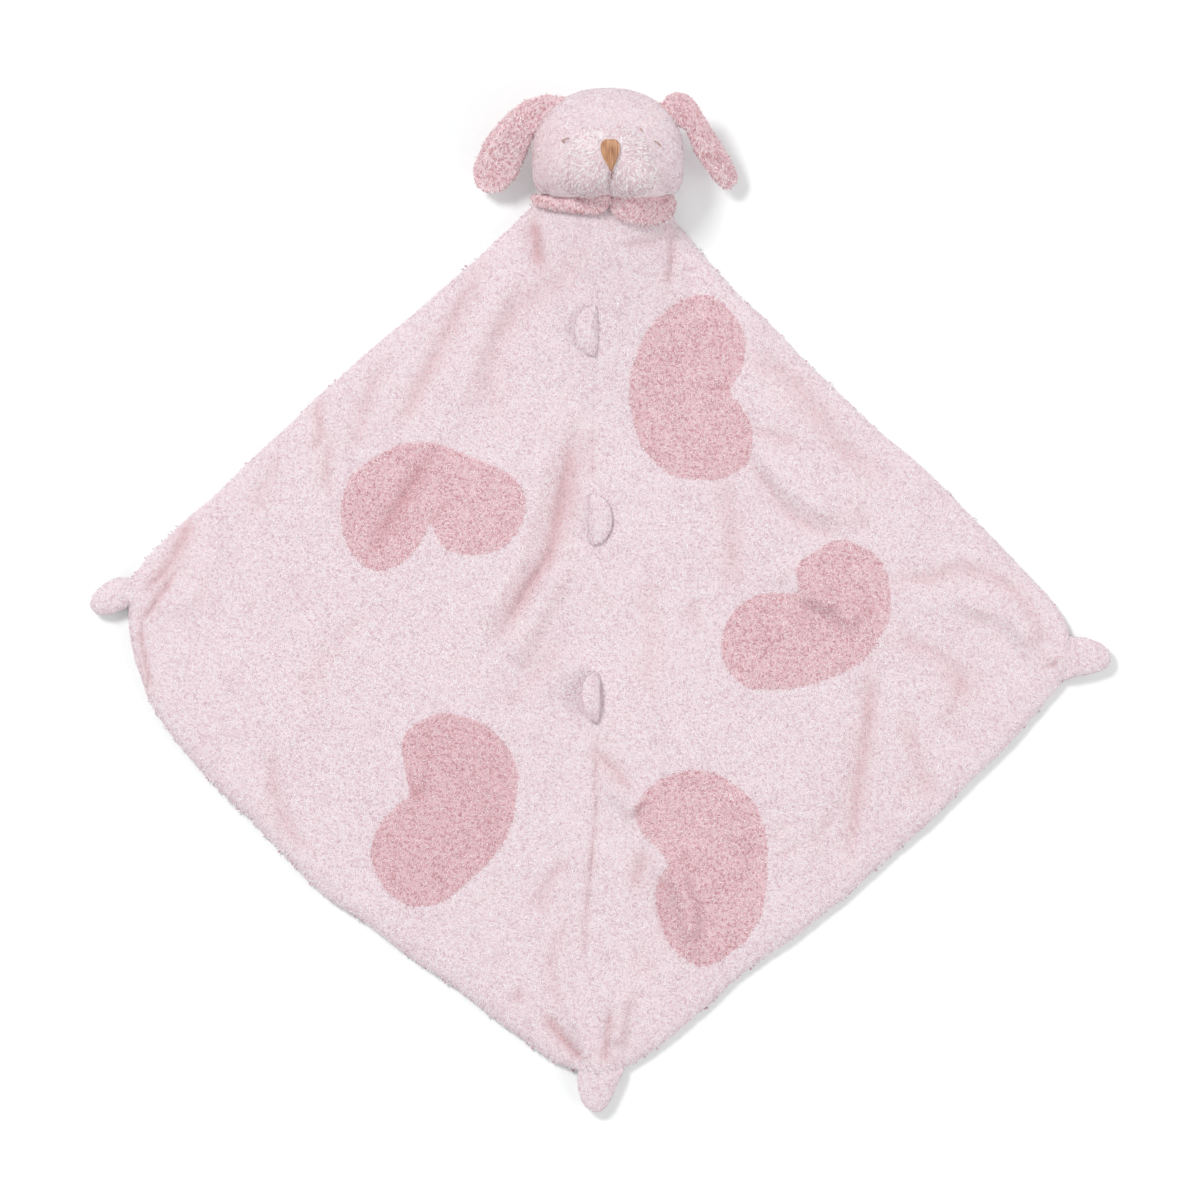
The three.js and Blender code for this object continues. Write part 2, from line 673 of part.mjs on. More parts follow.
function addPiece(name, solid, color, roughness = plushRoughness) {
  const material = new THREE.MeshStandardMaterial({ color, roughness, metalness: 0 });
  const mesh = new THREE.Mesh(geometryOf(solid), material);
  mesh.name = name;
  blanket.add(mesh);
}

addPiece("back_panel", backPanel(), pink);
const front = frontPieces();
for (const [name, solid] of Object.entries(front)) {
  addPiece(name, solid, name.startsWith("heart") ? rose : pink);
}
for (const side of Object.keys(collarShares)) {
  addPiece("collar_" + side, collarLobe(side, [front.front_panel_left, front.front_panel_right]), earRose);
}
for (const [name, tab] of Object.entries(tabs)) addPiece("seam_tab_" + name, seamTab(tab), pink);
for (const [name, nub] of Object.entries(nubs)) addPiece("corner_nub_" + name, cornerNub(nub), pink);

const headColours = { muzzle_cover: muzzlePink, head_filling: fillingWhite };
for (const [name, solid] of Object.entries(headPieces())) addPiece(name, solid, headColours[name] ?? pink);
addPiece("nose_stitching", noseStitching(), noseTan, threadRoughness);
for (const [name, ear] of Object.entries(ears)) {
  addPiece("ear_" + name + "_front", earLayerSolid(ear, 1), earRose);
  addPiece("ear_" + name + "_back", earLayerSolid(ear, -1), earRose);
}

export default blanket;
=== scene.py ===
import math

import bmesh
import bpy
import numpy as np
from mathutils import Matrix, Vector


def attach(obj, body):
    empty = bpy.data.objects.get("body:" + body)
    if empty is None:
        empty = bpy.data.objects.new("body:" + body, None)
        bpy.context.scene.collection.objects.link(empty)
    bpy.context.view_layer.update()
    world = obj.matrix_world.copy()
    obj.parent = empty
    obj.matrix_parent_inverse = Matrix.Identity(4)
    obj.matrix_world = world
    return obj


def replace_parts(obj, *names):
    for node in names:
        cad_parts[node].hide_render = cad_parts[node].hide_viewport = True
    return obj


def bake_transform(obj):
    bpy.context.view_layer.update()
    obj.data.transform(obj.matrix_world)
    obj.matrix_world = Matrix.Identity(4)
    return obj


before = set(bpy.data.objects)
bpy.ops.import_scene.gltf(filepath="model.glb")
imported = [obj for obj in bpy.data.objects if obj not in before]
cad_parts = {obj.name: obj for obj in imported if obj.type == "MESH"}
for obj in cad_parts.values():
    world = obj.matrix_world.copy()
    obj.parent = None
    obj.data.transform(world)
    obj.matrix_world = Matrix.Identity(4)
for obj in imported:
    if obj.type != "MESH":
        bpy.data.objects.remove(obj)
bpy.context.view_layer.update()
print("frame loaded,", len(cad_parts), "solids")

# The object lies on its back. Lengths are in millimetres until a mesh is made.
photo = {"millimetresPerPixel": 0.555, "centre": (600, 630), "size": 1200}


def fromPhoto(points):
    found = np.array(points, float).reshape(-1, 2)
    centre = np.array(photo["centre"])
    return (found - centre) * [1, -1] * photo["millimetresPerPixel"]


def linear(rgb):
    return [(c / 255 / 12.92) if c <= 10 else ((c / 255 + 0.055) / 1.055) ** 2.4 for c in rgb] + [1]


# Node trees. A wire is a socket that can stand in a sum.
class Wire:
    def __init__(self, graph, socket):
        self.graph, self.socket = graph, socket

    def __add__(self, other):
        return self.graph.math("ADD", self, other)

    def __sub__(self, other):
        return self.graph.math("SUBTRACT", self, other)

    def __mul__(self, other):
        return self.graph.math("MULTIPLY", self, other)

    def __pow__(self, other):
        return self.graph.math("POWER", self, other)

    def held(self, low=0.0, high=1.0):
        return self.graph.add("ShaderNodeClamp", {}, {"Value": self, "Min": low, "Max": high})

    def of(self, name):
        return Wire(self.graph, self.socket.node.outputs[name])


class Graph:
    def __init__(self, tree):
        self.tree = tree
        tree.nodes.clear()

    def add(self, kind, settings=None, sockets=None, out=0):
        node = self.tree.nodes.new(kind)
        for name, value in (settings or {}).items():
            setattr(node, name, value)
        for name, value in (sockets or {}).items():
            if isinstance(value, Wire):
                self.tree.links.new(value.socket, node.inputs[name])
            else:
                node.inputs[name].default_value = value
        return Wire(self, node.outputs[out]) if len(node.outputs) else None

    def math(self, operation, *values):
        return self.add("ShaderNodeMath", {"operation": operation}, dict(enumerate(values)))

    def mix(self, factor, first, second):
        settings = {"data_type": "RGBA"}
        return self.add("ShaderNodeMix", settings, {0: factor, 6: first, 7: second}, 2)

    def random(self, kind, low, high, seed):
        first = {"FLOAT_VECTOR": 0, "FLOAT": 2}[kind]
        sockets = {first: low, first + 1: high, 8: seed}
        return self.add("FunctionNodeRandomValue", {"data_type": kind}, sockets, first // 2)


def newMaterial(name):
    material = bpy.data.materials.new(name)
    material.use_nodes = True
    return material, Graph(material.node_tree)


def noiseAt(graph, place, scale, detail):
    return graph.add("ShaderNodeTexNoise", {}, {"Vector": place, "Scale": scale, "Detail": detail})


def stored(graph, name):
    return graph.add("ShaderNodeAttribute", {"attribute_name": name}).of("Fac")


# Plush: colours from 0 to 255 of the cloth, of a tuft's root and tip, and a deeper colour that is painted shade
# in folds, on slopes turned from the key light and on the shaded sides of the head, and also random mottling
plush = {
    "pinkPlush": {
        "cloth": (234, 215, 222), "root": (226, 194, 203), "tip": (255, 254, 255), "deep": (222, 182, 186),
    },
    "rosePlush": {
        "cloth": (227, 190, 196), "root": (208, 150, 158), "tip": (253, 239, 242), "deep": (206, 148, 155),
    },
    "deepRosePlush": {
        "cloth": (228, 193, 198), "root": (206, 144, 151), "tip": (255, 244, 247), "deep": (186, 124, 130),
    },
    # A lighter copy of the deep rose: painted light on the collar and the left ear, where the head shades them
    "litDeepRosePlush": {
        "cloth": (238, 203, 208), "root": (214, 153, 159), "tip": (255, 248, 250), "deep": (172, 122, 126),
    },
    "muzzlePlush": {
        "cloth": (240, 223, 229), "root": (230, 198, 206), "tip": (255, 255, 255), "deep": (208, 176, 180),
    },
}
plushLook = {
    "patchScale": 55.0, "grainScale": 900.0, "detail": 2.0,
    "tuft": {"along": 0.9, "shade": 1.3, "patch": 0.5, "level": 0.06},
    "cloth": {"grain": 0.9, "patch": 0.4, "level": 0.1},
    "paintedShadeGain": 0.8, "patchTint": 0.4, "mostTint": 0.85, "sheen": 0.5,
}


def plushMaterial(name, colours, onTufts):
    material, graph = newMaterial(name + ("Pile" if onTufts else ""))
    place = graph.add("ShaderNodeTexCoord").of("Object")
    patch = noiseAt(graph, place, plushLook["patchScale"], plushLook["detail"]) - 0.5
    grain = noiseAt(graph, place, plushLook["grainScale"], plushLook["detail"])
    own = plushLook["tuft" if onTufts else "cloth"]
    if onTufts:
        level = stored(graph, "tip") * own["along"] + (stored(graph, "shade") - 0.5) * own["shade"]
    else:
        level = (grain - 0.5) * own["grain"]
    level = (level + patch * own["patch"] + own["level"]).held()
    body = graph.mix(level, linear(colours["root" if onTufts else "cloth"]), linear(colours["tip"]))
    # Painted shade: the deeper colour is mixed in by the attribute read here, which marks creases, slopes
    # turned from the key light and the shaded sides of the head, together with random mottling
    mottleAndShade = stored(graph, "paintedShade") * plushLook["paintedShadeGain"] + patch * plushLook["patchTint"]
    colour = graph.mix(mottleAndShade.held(0, plushLook["mostTint"]), body, linear(colours["deep"]))
    bump = graph.add("ShaderNodeBump", {}, {"Strength": 0.5, "Distance": 0.0004, "Height": grain})
    shader = graph.add("ShaderNodeBsdfPrincipled", {}, {
        "Base Color": colour, "Roughness": (grain * 0.2 + 0.8).held(), "Normal": bump,
        "Specular IOR Level": 0.1, "Sheen Weight": plushLook["sheen"], "Sheen Roughness": 0.5,
    })
    graph.add("ShaderNodeOutputMaterial", {}, {"Surface": shader})
    return material


fabrics = {name: plushMaterial(name, colours, False) for name, colours in plush.items()}
piles = {name: plushMaterial(name, colours, True) for name, colours in plush.items()}


def threadMaterial(name, light, dark):
    material, graph = newMaterial(name)
    place = graph.add("ShaderNodeTexCoord").of("Object")
    drawn = graph.add("ShaderNodeMapping", {}, {"Vector": place, "Scale": (1500.0, 90.0, 600.0)})
    fibre = noiseAt(graph, drawn, 1.0, 3.0)
    colour = graph.mix(((fibre - 0.3) * 2.0).held(), linear(dark), linear(light))
    bump = graph.add("ShaderNodeBump", {}, {"Strength": 0.6, "Distance": 0.0002, "Height": fibre})
    shader = graph.add("ShaderNodeBsdfPrincipled", {}, {
        "Base Color": colour, "Roughness": (fibre * 0.2 + 0.36).held(), "Normal": bump,
        "Specular IOR Level": 0.5, "Sheen Weight": 0.1,
    })
    graph.add("ShaderNodeOutputMaterial", {}, {"Surface": shader})
    return material


tanThread = threadMaterial("tanThread", (240, 188, 146), (142, 88, 54))
mouthThread = threadMaterial("mouthThread", (190, 142, 132), (140, 96, 88))
eyeThread = threadMaterial("eyeThread", (204, 164, 128), (146, 104, 78))
print("materials made")


def newTree(name, inputs):
    tree = bpy.data.node_groups.new(name, "GeometryNodeTree")
    tree.interface.new_socket("Geometry", in_out="INPUT", socket_type="NodeSocketGeometry")
    for label, kind in inputs.items():
        tree.interface.new_socket(label, in_out="INPUT", socket_type="NodeSocket" + kind)
    tree.interface.new_socket("Geometry", in_out="OUTPUT", socket_type="NodeSocketGeometry")
    return tree


def storeFloat(graph, geometry, name, value):
    settings = {"data_type": "FLOAT", "domain": "POINT"}
    sockets = {"Geometry": geometry, "Name": name, "Value": value}
    return graph.add("GeometryNodeStoreNamedAttribute", settings, sockets)


def tuftShape(graph, given):
    # A slim closed spindle that bends over as it rises
    sockets = {"Segments": given.of("Sides"), "Rings": 2, "Radius": 1.0}
    ball = graph.add("GeometryNodeMeshUVSphere", {}, sockets)
    spot = graph.add("GeometryNodeInputPosition")
    parts = graph.add("ShaderNodeSeparateXYZ", {}, {"Vector": spot})
    along = (parts.of("Z") * 0.5 + 0.5).held()
    bend = along * along * given.of("Bend") * given.of("Length")
    bent = graph.add("ShaderNodeCombineXYZ", {}, {
        "X": parts.of("X") * given.of("Width") * 0.28 + bend,
        "Y": parts.of("Y") * given.of("Width") * 0.5,
        "Z": (along ** 0.75 - 0.12) * given.of("Length"),
    })
    spindle = graph.add("GeometryNodeSetPosition", {}, {"Geometry": ball, "Position": bent})
    return storeFloat(graph, spindle, "tip", along)


def tuftTurn(graph, given, normal):
    # Each tuft stands off the cloth and leans along the comb
    seed = given.of("Seed")
    comb = graph.add("GeometryNodeInputNamedAttribute", {"data_type": "FLOAT_VECTOR"}, {"Name": "comb"})
    spread = graph.random("FLOAT_VECTOR", (-1.0, -1.0, -1.0), (1.0, 1.0, 1.0), seed + 2)
    sockets = {"Vector": spread, "Scale": given.of("Turn Spread")}
    turned = graph.add("ShaderNodeVectorMath", {"operation": "SCALE"}, sockets)
    way = graph.add("ShaderNodeVectorMath", {"operation": "ADD"}, {0: comb, 1: turned})
    upright = graph.add("FunctionNodeAlignRotationToVector", {"axis": "Z"}, {"Vector": normal})
    facing = graph.add("FunctionNodeAlignRotationToVector", {"axis": "X", "pivot_axis": "Z"}, {
        "Rotation": upright, "Vector": way,
    })
    lean = given.of("Lean") + graph.random("FLOAT", -1.0, 1.0, seed + 3) * given.of("Lean Spread")
    tilt = graph.add("FunctionNodeAxisAngleToRotation", {}, {"Axis": (0.0, 1.0, 0.0), "Angle": lean})
    sockets = {"Rotation": facing, "Rotate By": tilt}
    return graph.add("FunctionNodeRotateRotation", {"rotation_space": "LOCAL"}, sockets)


def pileTree():
    tree = newTree("pile", {
        "Spacing": "Float", "Length": "Float", "Width": "Float", "Bend": "Float", "Lean": "Float",
        "Lean Spread": "Float", "Turn Spread": "Float", "Sides": "Int", "Seed": "Int", "Material": "Material",
    })
    graph = Graph(tree)
    given = graph.add("NodeGroupInput")
    seed = given.of("Seed")
    cover = graph.add("GeometryNodeInputNamedAttribute", {"data_type": "FLOAT"}, {"Name": "cover"})
    points = graph.add("GeometryNodeDistributePointsOnFaces", {"distribute_method": "POISSON"}, {
        "Mesh": given.of("Geometry"), "Distance Min": given.of("Spacing"), "Density Max": 3.0e6,
        "Density Factor": cover, "Seed": seed,
    })
    marked = storeFloat(graph, points, "shade", graph.random("FLOAT", 0.0, 1.0, seed + 1))
    copies = graph.add("GeometryNodeInstanceOnPoints", {}, {
        "Points": marked, "Instance": tuftShape(graph, given),
        "Rotation": tuftTurn(graph, given, points.of("Normal")),
        "Scale": graph.random("FLOAT", 0.75, 1.25, seed + 4),
    })
    real = graph.add("GeometryNodeRealizeInstances", {}, {"Geometry": copies})
    worn = graph.add("GeometryNodeSetMaterial", {}, {"Geometry": real, "Material": given.of("Material")})
    graph.add("NodeGroupOutput", {}, {"Geometry": worn})
    return tree


def threadTree():
    tree = newTree("thread", {"Radius": "Float", "Sides": "Int", "Points": "Int", "Material": "Material"})
    graph = Graph(tree)
    given = graph.add("NodeGroupInput")
    lines = graph.add("GeometryNodeMeshToCurve", {}, {"Mesh": given.of("Geometry")})
    even = graph.add("GeometryNodeResampleCurve", {}, {"Curve": lines, "Count": given.of("Points")})
    sockets = {"Resolution": given.of("Sides"), "Radius": given.of("Radius")}
    ring = graph.add("GeometryNodeCurvePrimitiveCircle", {}, sockets)
    sockets = {"Curve": even, "Profile Curve": ring, "Fill Caps": True}
    tube = graph.add("GeometryNodeCurveToMesh", {}, sockets)
    soft = graph.add("GeometryNodeSetShadeSmooth", {}, {"Geometry": tube})
    worn = graph.add("GeometryNodeSetMaterial", {}, {"Geometry": soft, "Material": given.of("Material")})
    graph.add("NodeGroupOutput", {}, {"Geometry": worn})
    return tree


pileNodes, threadNodes = pileTree(), threadTree()


def link(name, mesh):
    piece = bpy.data.objects.new(name, mesh)
    bpy.context.scene.collection.objects.link(piece)
    return piece


def newPiece(name, points, faces, material=None, flat=0):
    mesh = bpy.data.meshes.new(name)
    mesh.from_pydata((np.asarray(points, float) * 0.001).tolist(), [], [tuple(map(int, f)) for f in faces])
    mesh.polygons.foreach_set("use_smooth", [True] * (len(mesh.polygons) - flat) + [False] * flat)
    if material:
        mesh.materials.append(material)
    mesh.update()
    return link(name, mesh)


def madeByNodes(name, start, tree, values):
    modifier = start.modifiers.new("made", "NODES")
    modifier.node_group = tree
    for item in tree.interface.items_tree:
        if item.in_out == "INPUT" and item.name in values:
            modifier[item.identifier] = values[item.name]
    bpy.context.view_layer.update()
    graph = bpy.context.evaluated_depsgraph_get()
    mesh = bpy.data.meshes.new_from_object(
        start.evaluated_get(graph), preserve_all_data_layers=True, depsgraph=graph
    )
    mesh.name = name
    bpy.data.objects.remove(start)
    return link(name, mesh)


# Pile: lengths in millimetres, angles in degrees. A piece's comb has a seed and the reach of its turns.
tuft = {"bend": 0.32, "sides": 3, "combed": -1.6, "broad": 5.0, "fine": 3.0}
pile = {
    "blanket": {"spacing": 0.6, "length": 1.5, "width": 0.5, "lean": 62, "leanSpread": 14, "turnSpread": 1.3},
    "hearts": {"spacing": 0.62, "length": 1.7, "width": 0.52, "lean": 60, "leanSpread": 15, "turnSpread": 1.3},
    "back": {"spacing": 1.55, "length": 2.4, "width": 1.5, "lean": 68, "leanSpread": 10, "turnSpread": 0.9},
    "head": {"spacing": 0.6, "length": 1.5, "width": 0.5, "lean": 63, "leanSpread": 14, "turnSpread": 1.2},
    "muzzle": {"spacing": 0.76, "length": 2.5, "width": 0.68, "lean": 60, "leanSpread": 14, "turnSpread": 0.9},
    "ears": {"spacing": 0.76, "length": 2.1, "width": 0.62, "lean": 56, "leanSpread": 18, "turnSpread": 1.4},
    "small": {"spacing": 0.62, "length": 1.5, "width": 0.52, "lean": 62, "leanSpread": 14, "turnSpread": 1.2},
}
pileCount = {"tufts": 0}


def mark(piece, name, values):
    found = piece.data.attributes.new(name, "FLOAT", "POINT")
    found.data.foreach_set("value", np.asarray(values, np.float32))


def keepAbove(mesh, floor):
    spots = np.empty(len(mesh.vertices) * 3, np.float32)
    mesh.vertices.foreach_get("co", spots)
    spots[2::3] = np.maximum(spots[2::3], floor)
    mesh.vertices.foreach_set("co", spots)


def growPile(name, kind, fabric, points, faces, comb, seed, cover=None, floor=None, paintedShade=None):
    look, count = pile[kind], len(points)
    bed = newPiece(name + "Bed", points, faces)
    mark(bed, "paintedShade", np.zeros(count) if paintedShade is None else paintedShade)
    combs = bed.data.attributes.new("comb", "FLOAT_VECTOR", "POINT")
    combs.data.foreach_set("vector", np.asarray(comb, np.float32).ravel())
    mark(bed, "cover", np.ones(count) if cover is None else cover)
    piece = madeByNodes(name, bed, pileNodes, {
        "Spacing": look["spacing"] * 0.001, "Length": look["length"] * 0.001, "Width": look["width"] * 0.001,
        "Lean": math.radians(look["lean"]), "Lean Spread": math.radians(look["leanSpread"]),
        "Turn Spread": look["turnSpread"], "Bend": tuft["bend"], "Sides": tuft["sides"], "Seed": seed,
        "Material": piles[fabric],
    })
    if floor is not None:
        keepAbove(piece.data, floor * 0.001)
    piece.data.polygons.foreach_set("use_smooth", [False] * len(piece.data.polygons))
    piece.data.update()
    pileCount["tufts"] += len(piece.data.vertices) // (tuft["sides"] + 2)
    return piece


# Shared shapes
def smoothLine(points, steps=8, closed=False):
    p, found = np.array(points, float), []
    count = len(p)
    t = np.linspace(0, 1, steps, endpoint=False)[:, None]
    for i in range(count if closed else count - 1):
        if closed:
            a, b, c, d = p[i - 1], p[i], p[(i + 1) % count], p[(i + 2) % count]
        else:
            a, b, c, d = p[max(i - 1, 0)], p[i], p[i + 1], p[min(i + 2, count - 1)]
        bend = (c - a) * t + (2 * a - 5 * b + 4 * c - d) * t**2 + (3 * b - a - 3 * c + d) * t**3
        found.append(b + 0.5 * bend)
    if not closed:
        found.append(p[-1:])
    return np.concatenate(found)


def nearestOn(line, x, y, closed=False, reach=900.0):
    # Distance to a line and its nearest place, looked for no further away than the reach
    batch = 12
    x, y = np.asarray(x, float), np.asarray(y, float)
    u, v = x.ravel(), y.ravel()
    best, nearX, nearY = np.full(u.shape, float(reach)), u.copy(), v.copy()
    starts, ends = (line, np.roll(line, -1, 0)) if closed else (line[:-1], line[1:])
    for k in range(0, len(starts), batch):
        a, b = starts[k:k + batch], ends[k:k + batch]
        low, high = np.minimum(a.min(0), b.min(0)) - reach, np.maximum(a.max(0), b.max(0)) + reach
        near = np.flatnonzero((u > low[0]) & (u < high[0]) & (v > low[1]) & (v < high[1]))
        run = b - a
        t = (u[near, None] - a[:, 0]) * run[:, 0] + (v[near, None] - a[:, 1]) * run[:, 1]
        t = np.clip(t / np.maximum((run**2).sum(1), 1e-9), 0, 1)
        qx, qy = a[:, 0] + t * run[:, 0], a[:, 1] + t * run[:, 1]
        away = np.hypot(u[near, None] - qx, v[near, None] - qy)
        rows, pick = np.arange(len(near)), away.argmin(1)
        closer = away[rows, pick] < best[near]
        taken, rows, pick = near[closer], rows[closer], pick[closer]
        best[taken], nearX[taken], nearY[taken] = away[rows, pick], qx[rows, pick], qy[rows, pick]
    return best.reshape(x.shape), nearX.reshape(x.shape), nearY.reshape(x.shape)


def inside(outline, x, y):
    found = np.zeros(np.shape(x), bool)
    for (ax, ay), (bx, by) in zip(outline, np.roll(outline, -1, 0)):
        if ay != by:
            crosses = ((ay > y) != (by > y)) & (x < ax + (y - ay) * (bx - ax) / (by - ay))
            found ^= crosses
    return found


def eased(t):
    return t * t * (3 - 2 * t)


def softNoise(x, y, reach, seed):
    # From 0 to 1, over a square of random values that repeats
    size, shift = 96, 500.0
    lattice = np.random.default_rng(seed).random((size, size))
    u, v = np.asarray(x) / reach + shift, np.asarray(y) / reach + shift
    i, j = np.floor(u).astype(int), np.floor(v).astype(int)
    s, t = eased(u - i), eased(v - j)

    def row(k):
        return lattice[k % size, i % size] * (1 - s) + lattice[k % size, (i + 1) % size] * s

    return row(j) * (1 - t) + row(j + 1) * t


def swirl(points, seed, reach):
    # The way that the pile is combed at each point
    x, y = points[:, 0], points[:, 1]
    broad, fine = softNoise(x, y, reach, seed) - 0.5, softNoise(x, y, reach / 3, seed + 1) - 0.5
    angle = tuft["combed"] + tuft["broad"] * broad + tuft["fine"] * fine
    return np.stack([np.cos(angle), np.sin(angle), np.zeros(len(x))], -1)


# Blanket: outlines and folds are pixels of the photograph, heights and widths are millimetres
blanket = {
    "nubRoots": [(130, 592), (1069, 657), (599, 1070)], "rootRise": 3.2, "rootReach": 10.0,
    "neck": 241.98, "foot": -244.0, "thickness": 3.0, "pileDepth": 1.2, "bed": 3.3, "lift": 3.2,
    "edgeBand": 9.0, "edgePower": 0.45, "farthest": 16, "rim": 2.8, "rimShare": 0.25,
    "cell": 1.8, "snap": 0.51, "reach": 272, "thinnest": 0.4, "rimGap": 0.1, "rimDrop": 0.02,
    "bands": (-999, -100, -10, 80, 999),
    "deepest": 5.5, "shadeTurnedAway": 0.3, "mostShadeTurnedAway": 0.25, "regionShade": {"lowerLeft": 0.15},
    "ridge": {"gain": 1.5, "spread": 0.85, "power": 2}, "valley": {"gain": 1.2, "spread": 0.62, "power": 1.5},
    "comb": (11, 20), "fade": 0.22, "kept": (0.3, 0.3), "uneven": [(26, 3, 1.1), (11, 4, 0.5)],
    "tintNoise": {"level": 0.8, "share": 0.3, "reach": 7, "seed": 5},
    "groove": {"seam": (0.25, 2.0), "heart": (0.15, 1.6)},
    "overlap": {"left": (0.0, 0.0), "right": (0.15, 0.05), "heart": (0.15, 0.1)},
    "left": [
        (535, 194), (533, 205), (526, 213), (518, 221), (510, 229), (497, 240), (476, 260), (453, 280),
        (430, 300), (407, 320), (382, 340), (359, 360), (337, 380), (314, 400), (295, 420), (273, 440),
        (251, 460), (231, 480), (210, 500), (186, 520), (165, 540), (146, 560), (134, 576), (130, 590),
        (129, 608), (129, 625), (131, 640), (135, 660), (142, 680), (149, 700), (161, 720), (175, 740),
        (192, 760), (210, 780), (230, 800), (251, 820), (270, 840), (290, 860), (308, 880), (330, 900),
        (362, 920), (388, 940), (414, 960), (445, 980), (472, 1000), (496, 1020), (525, 1040), (551, 1060),
        (577, 1070),
    ],
    "right": [
        (673, 194), (673, 205), (673, 213), (675, 221), (681, 229), (690, 240), (706, 260), (724, 280),
        (743, 300), (765, 320), (785, 340), (803, 360), (825, 380), (845, 400), (866, 420), (889, 440),
        (914, 460), (935, 480), (954, 500), (974, 520), (994, 540), (1013, 560), (1032, 580), (1050, 600),
        (1064, 620), (1069, 638), (1068, 656), (1065, 672), (1058, 686), (1046, 700), (1029, 720),
        (1012, 740), (992, 760), (971, 780), (951, 800), (931, 820), (908, 840), (885, 860), (863, 880),
        (841, 900), (815, 920), (790, 940), (760, 960), (733, 980), (713, 1000), (690, 1020), (666, 1040),
        (638, 1060), (618, 1070),
    ],
    "seam": [
        (605, 194), (606, 226), (603, 260), (596, 310), (594, 350), (593, 440), (592.5, 500), (593, 545),
        (597, 600), (600, 670), (600, 722), (596, 760), (593, 850), (589, 900), (586, 950), (589, 1000),
        (592, 1040), (598, 1070),
    ],
}
hearts = {
    "upperLeft": [
        (432, 522), (427, 528), (423, 538), (409, 557), (392, 567), (376, 571), (357, 560), (347, 543),
        (342, 522), (342, 505), (350, 477), (378, 456), (406, 443), (434, 443), (461, 453), (496, 467),
        (513, 477), (524, 495), (525, 512), (518, 529), (503, 547), (475, 555), (454, 552), (442, 545),
        (436, 534),
    ],
    "upperRight": [
        (730, 389), (737, 401), (747, 415), (752, 429), (752, 444), (749, 462), (737, 472), (719, 479),
        (702, 480), (684, 478), (670, 474), (656, 462), (642, 446), (635, 426), (631, 406), (630, 388),
        (632, 371), (638, 350), (646, 333), (663, 314), (679, 302), (698, 295), (715, 298), (730, 311),
        (740, 323), (745, 339), (744, 354), (741, 370),
    ],
    "midRight": [
        (797, 593), (798, 582), (796, 569), (801, 561), (819, 549), (833, 541), (846, 540), (861, 547),
        (875, 556), (885, 569), (890, 587), (890, 607), (888, 624), (878, 639), (866, 657), (849, 669),
        (826, 679), (804, 686), (784, 689), (763, 689), (746, 686), (732, 674), (725, 662), (721, 642),
        (728, 621), (739, 606), (756, 596), (774, 593),
    ],
    "lowerLeft": [
        (410, 795), (409, 788), (406, 772), (403, 754), (403, 738), (412, 727), (429, 717), (445, 713),
        (461, 716), (479, 722), (495, 734), (507, 747), (514, 760), (518, 778), (516, 796), (513, 815),
        (507, 834), (498, 850), (486, 865), (470, 879), (453, 894), (438, 903), (423, 906), (409, 905),
        (395, 898), (384, 887), (375, 870), (371, 853), (375, 834), (385, 819), (397, 806),
    ],
    "lowerRight": [
        (668, 864), (662, 853), (649, 839), (639, 828), (635, 812), (639, 800), (652, 785), (668, 776),
        (686, 771), (702, 771), (720, 776), (734, 785), (749, 797), (758, 810), (764, 826), (767, 844),
        (767, 861), (767, 879), (764, 897), (762, 911), (755, 926), (745, 941), (731, 952), (720, 960),
        (706, 966), (693, 963), (679, 954), (668, 941), (661, 923), (657, 905), (657, 891), (661, 876),
    ],
}
